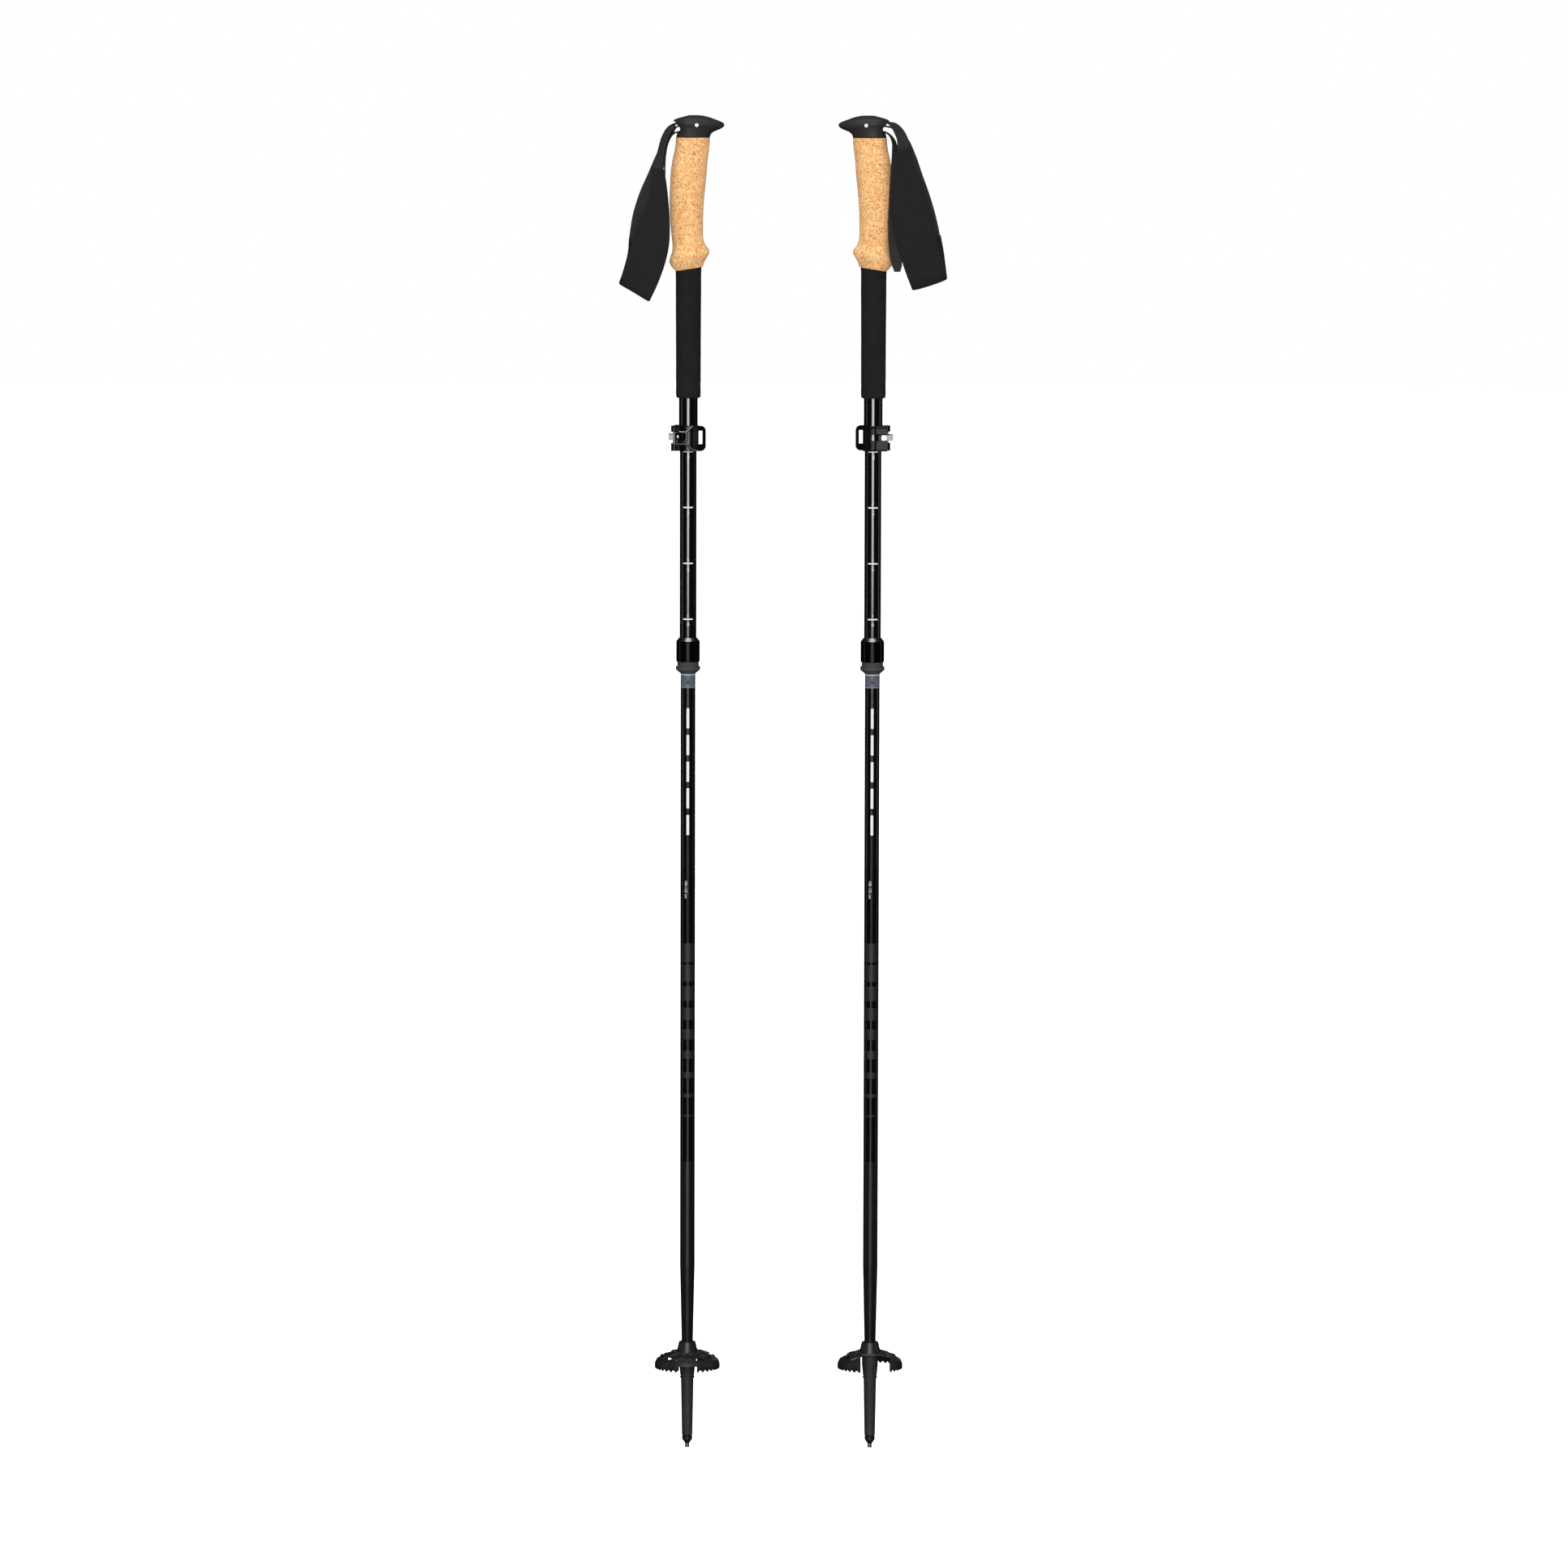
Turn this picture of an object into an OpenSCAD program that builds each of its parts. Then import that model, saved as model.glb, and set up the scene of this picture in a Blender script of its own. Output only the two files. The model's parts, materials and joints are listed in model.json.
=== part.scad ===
// A pair of three-section folding trekking poles, standing side by side.
// Each pole stands on its tip at z = 0, and the origin is midway between the two tips.
// The left pole's grip beak points to +X. The right pole is turned half a turn about Z.

/* [Pair] */
// Distance between the two pole axes
pair_gap = 165; // [120:5:400]

/* [Lengths] */
// Ground to the lower folding joint
lower_len = 261.2; // [200:1:320]
// Middle section between the two folding joints
middle_len = 266.9; // [180:1:340]
// Fold shaft showing under the coupler
fold_len = 173.6; // [130:1:240]
// Scale shaft showing between the coupler and the lever lock
scale_len = 167.3; // [160:1:210]
// Upper shaft showing between the lever lock and the foam
neck_len = 24.3; // [10:1:60]
// Foam sleeve
foam_len = 115.2; // [60:1:160]
// Cork grip
cork_len = 116.3; // [95:1:140]

/* [Tubes] */
// Outer diameter of the fold, middle and lower shafts
fold_d = 13.2; // [11:0.1:16]
// Wall of the fold, middle and lower shafts
fold_wall = 0.8; // [0.6:0.1:1.2]
// Wall of the scale shaft, which slides over the fold shaft
scale_wall = 0.85; // [0.6:0.05:1.2]
// Wall of the upper shaft, which slides over the scale shaft
upper_wall = 0.85; // [0.6:0.05:1.2]
// Running clearance between a tube and the one that slides in it, on the radius
slide_gap = 0.05; // [0.03:0.01:0.1]
// How far each folding joint's ferrule reaches into the shaft above
ferrule_len = 45; // [25:1:60]
// How far the scale shaft reaches up past the lever lock's lower face
scale_insert = 118; // [100:1:118]
// Diameter of the tension cord
cord_d = 2.5; // [1.5:0.1:3.5]

/* [Grip] */
// Height of the head above the cork
head_h = 20; // [18:0.5:26]
// Reach of the beak ahead of the pole axis
beak_reach = 31.7; // [26:0.5:40]
// Diameter of the strap pin
strap_pin_d = 3.4; // [2:0.1:4]
// Thickness of the foam sleeve
foam_t = 2.95; // [1.5:0.05:6]

/* [Lever lock] */
// Height of the lever lock
lock_h = 22.8; // [20:0.2:30]
// Wall of the clamp around the upper shaft
clamp_wall = 0.9; // [0.8:0.1:1.6]
// Thickness of the lever's curved band
lever_t = 2.7; // [2:0.1:4]
// Diameter of the lever pin
lever_pin_d = 2.4; // [1.6:0.1:3]
// Height of the steel tension link
link_h = 5; // [4:0.1:6]

/* [Coupler] */
// Thickness of the coupler body around the scale shaft
coupler_t = 3.05; // [2.8:0.05:5]
// Height of the coupler body
coupler_body_h = 18.6; // [17:0.2:26]
// Travel of the slide collar
collar_travel = 4; // [2:0.5:5]

/* [Basket and tip] */
// Diameter of the basket
basket_d = 58.7; // [45:0.5:70]
// Number of teeth round the basket's rim
basket_teeth = 36; // [18:1:48]
// Diameter of the lower shaft where the basket sits
tip_shaft_d = 10.2; // [8.5:0.1:10.9]
// Length of the bare stretch of the tip holder
holder_len = 52; // [35:1:70]
// Diameter of the seat that holds the hard tip
seat_d = 9.2; // [7.6:0.1:9.4]
// Diameter of the hard tip
hard_tip_d = 3.8; // [3:0.1:5]

/* [Strap] */
// Width of the strap's webbing
webbing_w = 14; // [10:0.5:15]
// Thickness of the strap's webbing
webbing_t = 1.3; // [1:0.1:1.5]
// Width of the padded band at the foot of the loop
pad_w = 33; // [25:1:36]
// Thickness of the padded band
pad_t = 3; // [2:0.1:4]

/* [Hidden] */
$fn = 64;

eps = 0.01;
past = 1;                                   // how far a cut runs past the face it opens
snug = 0.1;                                 // gap between pieces that turn or slide on a flat

// Tubes
fold_r = fold_d / 2;
scale_bore_r = fold_r + slide_gap;
scale_r = scale_bore_r + scale_wall;
upper_bore_r = scale_r + slide_gap;
upper_r = upper_bore_r + upper_wall;
fold_bore_r = fold_r - fold_wall;
ferrule_r = fold_bore_r - slide_gap;
ferrule_wall = 1.2;
ferrule_root = 40;                          // length held in the shaft below the joint
cord_r = cord_d / 2;

// Heights from the ground up
lower_top = lower_len;
middle_top = lower_top + middle_len;
coupler_z = middle_top + fold_len;
collar_cone_h = 3.7;
collar_rim_h = 2.9;
collar_neck_h = collar_travel + 0.3;
body_z = coupler_z + collar_cone_h + collar_rim_h + collar_neck_h;
coupler_ring_h = 2.9;
body_top = body_z + coupler_body_h;
coupler_top = body_top + coupler_ring_h;
lock_z = coupler_top + scale_len;
lock_top = lock_z + lock_h;
foam_z = lock_top + neck_len;
cork_z = foam_z + foam_len;
head_z = cork_z + cork_len;
upper_top = head_z - 0.5;
lock_lip = 2.6;                             // lip under the upper shaft's end
scale_top = lock_z + scale_insert;

// Inside the coupler
coupler_r = scale_r + coupler_t;
sleeve_lap = 4.4;                           // collar sleeve inside the body at rest
sleeve_r = coupler_r - 0.95;
sleeve_top = body_z + sleeve_lap;
spring_room = collar_travel + 2.5;
lock_ring_z = sleeve_top + spring_room;
lock_ring_h = 2;
lock_ring_r = scale_r + 1.1;
scale_z = lock_ring_z + lock_ring_h;
fold_top = scale_z + 19.5;

// Tip
cone_tip_h = 3.6;
seat_cone_h = 3.8;
seat_h = 3.3;
holder_z = cone_tip_h + seat_cone_h + seat_h + 0.9;
ridge_z = holder_z + holder_len;
ridge_h = 4.4;
shaft_seat = 2.4;                           // lower shaft's end above the foot of the ridges
collar_h = 16;                              // cup between the ridges and the basket's hub
hub_z = ridge_z + ridge_h + collar_h;
hub_h = 12.7;
hub_top = hub_z + hub_h;
tip_shaft_r = tip_shaft_d / 2;
holder_neck_r = tip_shaft_r + 1;
hub_bore_r = holder_neck_r + snug;
taper_top = hub_top + 70;

// Lever lock, in the lock's own plan
clamp_r = upper_r + clamp_wall;
lever_in_r = clamp_r + 0.3;
lever_out_r = lever_in_r + lever_t;
lever_pin_r = lever_pin_d / 2;
lever_pin_x = -(lever_out_r + 0.3);
lever_pin_y = -5.5;
lever_eye_r = lever_pin_r + 1.6;
knuckle_r = lever_pin_r + 1.2;
loop_x = lever_out_r + 3.4;                 // outer edge of the finger loop
link_x = -(upper_r + 9.3);                  // outer face of the tension link
link_t = 1.5;
link_tab_y = upper_r + 0.3;                 // inner face of the link's rear tab
screw_x = -(upper_r + 1.2);
screw_r = 1.1;
screw_head_r = 2.45;
slot_mid = lock_h / 2 + 0.9;                // middle of the slot above the lock's lower face
slot_h = link_h + 0.4;
jaw_x = -(upper_r + 3.9);
jaw_y = upper_r + 0.5;

// Head
pin_x = 7.3;
pin_z = head_z + 11.2;
strap_pin_r = strap_pin_d / 2;
loop_out_r = strap_pin_r + webbing_t;
head_rear = 13.7;
spigot_len = 7;
crown_w = 15;

module left() translate([-pair_gap / 2, 0, 0]) children();

module right() translate([pair_gap / 2, 0, 0]) rotate([0, 0, 180]) children();

// The right strap is the left one's mirror image, as straps are made for each hand.
module right_hand() translate([pair_gap / 2, 0, 0]) mirror([1, 0, 0]) children();

module tube(r_out, r_in, z_low, z_high) {
    translate([0, 0, z_low])
        difference() {
            cylinder(r = r_out, h = z_high - z_low);
            translate([0, 0, -past]) cylinder(r = r_in, h = z_high - z_low + 2 * past);
        }
}

module disc(x, z, r, h = 0.2) {
    translate([x, 0, z]) cylinder(r = r, h = h, $fn = 32);
}

// ---- Grip ----

module head() {
    color([0.06, 0.06, 0.07])
    difference() {
        union() {
            hull() {
                disc(1.3, head_z + 10.6, crown_w, 3.2);
                disc(beak_reach - 5, head_z + 10, 5, 3.2);
                disc(3, head_z + head_h - 3.2, 10.5);
                disc(18, head_z + head_h - 3.6, 4);
                disc(7, head_z + head_h - 0.2, 3.5);
            }
            hull() {
                disc(5.4, head_z, 13.6);
                disc(5.4, head_z + 8, 14.1, 3);
            }
            // spigot in the top of the upper shaft
            translate([0, 0, head_z - spigot_len])
                cylinder(r = upper_bore_r, h = spigot_len + past);
        }
        rotate([90, 0, 0])
            translate([pin_x, pin_z, -30]) cylinder(r = strap_pin_r + 0.05, h = 60);
        translate([-head_rear - past, -webbing_w / 2 - 0.5, pin_z - loop_out_r - 0.8])
            cube([head_rear + past + pin_x + loop_out_r + 0.8, webbing_w + 1, 2 * loop_out_r + 1.6]);
    }
}

module strap_pin() {
    color([0.85, 0.85, 0.86])
    rotate([90, 0, 0])
        translate([pin_x, pin_z, -crown_w - 0.3]) cylinder(r = strap_pin_r, h = 2 * crown_w + 0.6);
}

// The webbing that loops round the pin inside the head
module strap_anchor() {
    back = pin_x + head_rear - 1.1;
    color([0.08, 0.08, 0.09])
    rotate([90, 0, 0])
        translate([pin_x, pin_z, -webbing_w / 2])
            linear_extrude(webbing_w)
                difference() {
                    union() {
                        circle(r = loop_out_r);
                        translate([-back, -loop_out_r + snug])
                            square([back, 2 * loop_out_r - 2 * snug]);
                    }
                    circle(r = strap_pin_r);
                    translate([-pin_x - head_rear - past, -strap_pin_r + snug])
                        square([pin_x + head_rear + past, 2 * strap_pin_r - 2 * snug]);
                }
}

// Each row is a height as a share of the cork, then its thickness behind and ahead of the shaft.
cork_rows = [
    [0, 3, 4.4], [0.1, 8.6, 9.6], [0.19, 5.8, 5.6], [0.36, 7.4, 4.5],
    [0.53, 8.5, 5.2], [0.76, 7.5, 7.6], [1, 3, 10.6]
];

module cork_slice(row, z) {
    scale([1, 0.92, 1]) disc((row[2] - row[1]) / 2, z, upper_r + (row[1] + row[2]) / 2);
}

module cork_grip() {
    color([0.82, 0.62, 0.4])
    difference() {
        for (i = [0 : len(cork_rows) - 2])
            hull() {
                cork_slice(cork_rows[i], cork_z + cork_rows[i][0] * (cork_len - 0.2));
                cork_slice(cork_rows[i + 1], cork_z + cork_rows[i + 1][0] * (cork_len - 0.2));
            }
        translate([0, 0, cork_z - past]) cylinder(r = upper_r + snug, h = cork_len + 2 * past);
    }
}

module foam_sleeve() {
    foam_r = upper_r + foam_t;
    color([0.1, 0.1, 0.1])
    rotate_extrude()
        polygon([
            [upper_r, foam_z], [foam_r - 1.6, foam_z], [foam_r - 0.4, foam_z + 1.4],
            [foam_r, cork_z], [upper_r, cork_z]
        ]);
}

module upper_shaft() {
    color([0.05, 0.05, 0.06])
    tube(upper_r, upper_bore_r, lock_z + lock_lip, upper_top);
}

// ---- Lever lock ----

module clamp_body() {
    color([0.05, 0.05, 0.06])
    translate([0, 0, lock_z])
        difference() {
            linear_extrude(lock_h)
                difference() {
                    union() {
                        circle(r = clamp_r);
                        translate([jaw_x, 1.2]) square([-jaw_x - 2, jaw_y - 1.2]);
                    }
                    translate([jaw_x - past, -0.7]) square([-jaw_x - upper_r + 2, 1.9]);
                }
            translate([0, 0, lock_lip]) cylinder(r = upper_r, h = lock_h);
            translate([0, 0, -past]) cylinder(r = scale_r + 0.3, h = lock_h);
            // front half of the slot, under the lever
            translate([jaw_x - past, -clamp_r - past, slot_mid - slot_h / 2])
                cube([-jaw_x + past - 1.9, clamp_r + past + 4.2, slot_h]);
            // rear half of the slot, with a round end
            translate([jaw_x - past, upper_r - 1, slot_mid - slot_h / 2])
                cube([-jaw_x + past, clamp_r, slot_h]);
            translate([0, upper_r - 1, slot_mid])
                rotate([-90, 0, 0]) cylinder(r = slot_h / 2, h = clamp_r);
            // tapped hole for the tension screw
            translate([screw_x, 0, slot_mid]) rotate([-90, 0, 0]) cylinder(r = screw_r + 0.05, h = 20);
        }
}

module lever_plan() {
    intersection() {
        difference() {
            circle(r = lever_out_r);
            circle(r = lever_in_r);
        }
        translate([-lever_out_r - past, -lever_out_r - past])
            square([lever_out_r + past + lever_in_r - 1.2, lever_out_r + past - 2.6]);
    }
    translate([lever_pin_x, lever_pin_y]) circle(r = lever_eye_r);
}

module finger_loop() {
    corner = 4.5;
    band_y = -lever_out_r + 2.2;
    wall_t = 3;
    low = snug + corner;
    high = lock_h - snug - corner;
    translate([0, band_y + wall_t / 2, 0])
        rotate([90, 0, 0])
            linear_extrude(wall_t)
                difference() {
                    union() {
                        translate([4, snug]) square([loop_x - corner - 4, lock_h - 2 * snug]);
                        translate([4, low]) square([loop_x - 4, high - low]);
                        for (z = [low, high])
                            translate([loop_x - corner, z]) circle(r = corner - eps);
                    }
                    translate([lever_in_r - 0.6, slot_mid - 6]) square([3.6, 12]);
                }
}

module lever() {
    color([0.04, 0.04, 0.05])
    translate([0, 0, lock_z])
        difference() {
            union() {
                translate([0, 0, snug]) linear_extrude(lock_h - 2 * snug) lever_plan();
                finger_loop();
            }
            translate([-30, -30, slot_mid - 5.2]) cube([26, 30, 10]);
            translate([-4.6, 0, slot_mid]) rotate([90, 0, 0]) cylinder(r = 2.9, h = 30);
            translate([lever_pin_x, lever_pin_y, -past])
                cylinder(r = lever_pin_r + 0.05, h = lock_h + 2 * past);
        }
}

module lever_pin() {
    color([0.7, 0.7, 0.7])
    translate([lever_pin_x, lever_pin_y, lock_z + 0.5]) cylinder(r = lever_pin_r, h = lock_h - 1);
}

module tension_link() {
    front_y = lever_pin_y - knuckle_r + 0.2;
    color([0.66, 0.64, 0.6])
    translate([0, 0, lock_z + slot_mid - link_h / 2])
        difference() {
            linear_extrude(link_h)
                difference() {
                    union() {
                        translate([lever_pin_x, lever_pin_y]) circle(r = knuckle_r);
                        translate([link_x, front_y]) square([lever_pin_x - link_x, link_t + 0.3]);
                        translate([link_x, front_y])
                            square([link_t, link_tab_y + link_t - front_y]);
                        translate([link_x, link_tab_y])
                            square([screw_x + screw_head_r - link_x, link_t]);
                    }
                    translate([lever_pin_x, lever_pin_y]) circle(r = lever_pin_r);
                }
            translate([screw_x, 0, link_h / 2])
                rotate([-90, 0, 0]) cylinder(r = screw_r + 0.05, h = 20);
        }
}

module tension_screw() {
    head_y = link_tab_y + link_t + 0.05;
    shank_end = 4.3;
    color([0.85, 0.85, 0.84])
    translate([screw_x, 0, lock_z + slot_mid])
        rotate([-90, 0, 0])
            difference() {
                union() {
                    translate([0, 0, shank_end]) cylinder(r = screw_r, h = head_y - shank_end + eps);
                    translate([0, 0, head_y]) cylinder(r = screw_head_r, h = 2);
                }
                translate([0, 0, head_y + 0.8]) cylinder(r = 1.3, h = 2, $fn = 6);
            }
}

// ---- Coupler ----

module scale_shaft() {
    color([0.05, 0.05, 0.06])
    tube(scale_r, scale_bore_r, scale_z, scale_top);
}

module cord_cap() {
    color([0.2, 0.2, 0.2])
    tube(scale_bore_r, cord_r, scale_top - 12, scale_top - 1);
}

module coupler_ring() {
    color([0.8, 0.8, 0.8])
    rotate_extrude()
        polygon([
            [scale_r, body_top], [coupler_r - 0.2, body_top],
            [scale_r + 0.5, coupler_top], [scale_r, coupler_top]
        ]);
}

module coupler_body() {
    edge = 0.4;
    color([0.05, 0.05, 0.06])
    rotate_extrude()
        polygon([
            [sleeve_r + snug, body_z], [coupler_r - edge, body_z],
            [coupler_r, body_z + edge], [coupler_r, body_top - edge],
            [coupler_r - edge, body_top], [scale_r, body_top], [scale_r, scale_z],
            [lock_ring_r, scale_z], [lock_ring_r, lock_ring_z], [sleeve_r + snug, lock_ring_z]
        ]);
}

// Split ring that snaps into the fold shaft's groove
module lock_ring() {
    color([0.6, 0.6, 0.6])
    difference() {
        tube(lock_ring_r, fold_r + snug, lock_ring_z, scale_z);
        translate([0, -1.2, lock_ring_z - past]) cube([20, 2.4, lock_ring_h + 2 * past]);
    }
}

function helix_ring(turn_angle, mean_r, wire_r, z, sides) = [
    for (s = [0 : sides - 1])
        let (a = 360 * s / sides, r = mean_r + wire_r * cos(a))
        [r * cos(turn_angle), r * sin(turn_angle), z + wire_r * sin(a)]
];

module collar_spring() {
    turns = 3;
    per_turn = 12;
    sides = 6;
    wire_r = 0.4;
    mean_r = (fold_r + sleeve_r) / 2;
    rings = turns * per_turn;
    low = sleeve_top + wire_r + snug;
    rise = (spring_room - 2 * wire_r - 2 * snug) / rings;
    points = [
        for (i = [0 : rings]) each helix_ring(360 * i / per_turn, mean_r, wire_r, low + i * rise, sides)
    ];
    skin = [
        for (i = [0 : rings - 1], s = [0 : sides - 1])
            let (a = i * sides + s, b = i * sides + (s + 1) % sides)
            [a, a + sides, b + sides, b]
    ];
    ends = [
        [for (s = [0 : sides - 1]) s],
        [for (s = [sides - 1 : -1 : 0]) rings * sides + s]
    ];
    color([0.6, 0.6, 0.6])
    polyhedron(points = points, faces = concat(skin, ends));
}

module slide_collar() {
    rim_z = coupler_z + collar_cone_h;
    color([0.16, 0.16, 0.17])
    rotate_extrude()
        polygon([
            [fold_r + snug, coupler_z + 0.3], [fold_r + 0.3, coupler_z + 0.3],
            [coupler_r + 0.3, rim_z], [coupler_r + 0.3, rim_z + collar_rim_h],
            [sleeve_r, rim_z + collar_rim_h], [sleeve_r, sleeve_top],
            [fold_r + snug, sleeve_top]
        ]);
}

// ---- Folding sections ----

module fold_shaft() {
    groove = 0.2;
    color([0.05, 0.05, 0.06])
    difference() {
        tube(fold_r, fold_bore_r, middle_top, fold_top);
        tube(fold_r + past, fold_r - groove, lock_ring_z, scale_z);
    }
}

module ferrule(joint_z) {
    top = joint_z + ferrule_len;
    nose = 3;
    low = joint_z - ferrule_root;
    in_r = ferrule_r - ferrule_wall;
    color([0.5, 0.5, 0.52])
    rotate_extrude()
        polygon([
            [in_r, low], [fold_bore_r, low], [fold_bore_r, joint_z], [ferrule_r, joint_z],
            [ferrule_r, top - nose], [in_r + 0.4, top], [in_r, top]
        ]);
}

module middle_shaft() {
    color([0.05, 0.05, 0.06])
    tube(fold_r, fold_bore_r, lower_top, middle_top);
}

module lower_shaft() {
    foot = ridge_z + shaft_seat;
    color([0.09, 0.09, 0.1])
    rotate_extrude()
        polygon([
            [tip_shaft_r - fold_wall, foot], [tip_shaft_r, foot], [tip_shaft_r, hub_top],
            [fold_r, taper_top], [fold_r, lower_top], [fold_bore_r, lower_top],
            [fold_bore_r, taper_top], [tip_shaft_r - fold_wall, hub_top]
        ]);
}

module tension_cord() {
    collapse_travel = 122;
    cord_foot = ridge_z + shaft_seat + collapse_travel + 4;
    color([0.5, 0.1, 0.1])
    translate([0, 0, cord_foot]) cylinder(r = cord_r, h = scale_top - 2 - cord_foot);
}

// ---- Basket and tip ----

module basket() {
    rim_r = basket_d / 2;
    skin = 1.7;
    rim_z = hub_z - 6;
    skirt_h = 5.3;
    dome_r = hub_bore_r + 3.45;
    dome_z = hub_z + 3.1;
    round_r = rim_r - 1.5;                  // where the dome turns down into the skirt
    round_z = rim_z + 2.6;
    slope_r = rim_r - 8;
    slope_z = dome_z - 2.6;
    tooth_cut_r = 0.028 * basket_d;
    hole_w = 3.6;
    hole_l = 5;
    hole_step = 40;
    notch_w = 25.9;                         // clips round the folded shafts
    notch_from = -17.4;
    gap_w = 16;                             // break in the skirt, opposite the notch
    gap_from = -7;
    color([0.16, 0.16, 0.17])
    difference() {
        rotate_extrude()
            polygon([
                [hub_bore_r, hub_z + snug], [dome_r - 1, hub_z + snug], [dome_r + 4, dome_z - 1.7],
                [slope_r, slope_z - skin], [round_r - skin, round_z - 1.2],
                [rim_r - skin, rim_z - 1.5], [rim_r - skin, rim_z - skirt_h],
                [rim_r, rim_z - skirt_h], [rim_r, rim_z - 1], [round_r, round_z], [slope_r, slope_z],
                [dome_r + 4, dome_z], [dome_r, dome_z], [hub_bore_r + 1.2, hub_top], [hub_bore_r, hub_top]
            ]);
        // scallops between the teeth
        for (i = [0 : basket_teeth - 1])
            rotate([0, 0, (i + 0.5) * 360 / basket_teeth])
                translate([rim_r - 4, 0, rim_z - skirt_h])
                    rotate([0, 90, 0]) cylinder(r = tooth_cut_r, h = 8, $fn = 24);
        // oval holes through the dome
        for (a = [-60 : hole_step : 240])
            if (abs(a - 90) > 50)
                rotate([0, 0, a])
                    translate([slope_r + 0.5, 0, rim_z - 2])
                        linear_extrude(20) {
                            square([hole_w, hole_l], center = true);
                            for (y = [-hole_l / 2, hole_l / 2])
                                translate([0, y]) circle(r = hole_w / 2, $fn = 24);
                        }
        translate([notch_from, dome_r + 0.6, rim_z - 20]) cube([notch_w, rim_r, 40]);
        translate([gap_from, -rim_r - 1, rim_z - 20]) cube([gap_w, rim_r / 3, 20]);
    }
}

module tip_holder() {
    ridge_r = holder_neck_r + 0.35;
    cup_r = ridge_r + 0.8;
    stud_r = 2.5;
    color([0.3, 0.3, 0.31])
    rotate_extrude()
        polygon([
            [0, holder_z + 14], [stud_r, holder_z + 14], [stud_r, holder_z],
            [seat_d / 2 + 0.2, holder_z], [seat_d / 2 + 1.15, ridge_z],
            [ridge_r, ridge_z], [ridge_r, ridge_z + 1.4], [ridge_r - 0.5, ridge_z + 1.6],
            [ridge_r - 0.5, ridge_z + 2.6], [ridge_r, ridge_z + 2.8], [ridge_r, ridge_z + ridge_h],
            [cup_r, ridge_z + ridge_h + 8], [cup_r, hub_z], [holder_neck_r, hub_z],
            [holder_neck_r, hub_top - 0.8], [tip_shaft_r, hub_top - 0.8],
            [tip_shaft_r, ridge_z + shaft_seat], [0, ridge_z + shaft_seat]
        ]);
}

module tip_seat() {
    stud_r = 2.5;
    seat_z = cone_tip_h + seat_cone_h;
    color([0.2, 0.2, 0.2])
    rotate_extrude()
        polygon([
            [hard_tip_d / 2 - 0.4, cone_tip_h], [hard_tip_d / 2, cone_tip_h], [seat_d / 2, seat_z],
            [seat_d / 2, seat_z + seat_h], [stud_r, holder_z - 0.2], [stud_r, holder_z + 14],
            [0, holder_z + 14], [0, holder_z + 4], [hard_tip_d / 2 - 0.4, holder_z + 4]
        ]);
}

module hard_tip() {
    hollow_r = 4;
    color([0.45, 0.36, 0.26])
    difference() {
        union() {
            cylinder(r = hard_tip_d / 2, h = cone_tip_h);
            cylinder(r = hard_tip_d / 2 - 0.4, h = holder_z + 4);
        }
        translate([0, 0, -hollow_r + 0.4]) sphere(r = hollow_r);
    }
}

// ---- Strap ----

// Each row is a place (x, y, height from the strap pin), a width and a turn about Z.
pad_rows = [
    [-27, -9, -35, 12, 20], [-26, -9.5, -54, 20, 12], [-29.5, -10, -76, 28, 6],
    [-37, -8.5, -108, pad_w, 4], [-48, -5, -143, pad_w, 0]
];
back_rows = [
    [-50, 5, -136, 12, 0], [-45, 8, -98, 12, 0], [-38, 7, -66, 12, 10],
    [-28, 5, -34, 12, 30], [-21, 2, -12, 12, 60], [-15.4, 0, -2.2, 12, 90]
];
front_rows = [
    [-15.4, 0, 1, webbing_w, 90], [-20, -2, -3, webbing_w, 70],
    [-25, -6, -16, webbing_w, 45], [-27.5, -8.6, -33.5, 12, 20]
];
// The tail's rows hold how far it lies to one side instead of y.
tail_rows = [
    [-15.4, 0, -5.5, 9, 90], [-17.5, 9, -22, 9, 70], [-16, 13.7, -46, 9, 35],
    [-15.5, 14.5, -92, 9, 10], [-19.5, 14.5, -128, 9, 10]
];

strap_shaft_r = 8.4;                        // upper shaft's radius that the rows are drawn for
strap_grow = upper_r - strap_shaft_r;
swing_full = 50;                            // depth at which a row lies a whole strap_grow further out

function lower_share(row) = min(1, max(0, -row[2] / swing_full));

module plate(row, t) {
    translate([row[0] - strap_grow * lower_share(row), row[1], pin_z + row[2]])
        rotate([0, 0, row[4]]) cube([row[3], t, 0.4], center = true);
}

module ribbon(rows, t) {
    for (i = [0 : len(rows) - 2])
        hull() {
            plate(rows[i], t);
            plate(rows[i + 1], t);
        }
}

// The tail hangs behind the loop on one pole (tail_side = 1) and before it on the other (-1).
module strap_webbing(tail_side) {
    tail = [
        for (r = tail_rows)
            [r[0], (r[1] + strap_grow * lower_share(r)) * tail_side, r[2], r[3], r[4] * tail_side]
    ];
    color([0.1, 0.1, 0.11]) {
        ribbon(front_rows, webbing_t);
        ribbon(back_rows, webbing_t);
        ribbon(tail, webbing_t);
    }
}

module strap_pad() {
    color([0.12, 0.12, 0.14])
    ribbon(pad_rows, pad_t);
}

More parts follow.
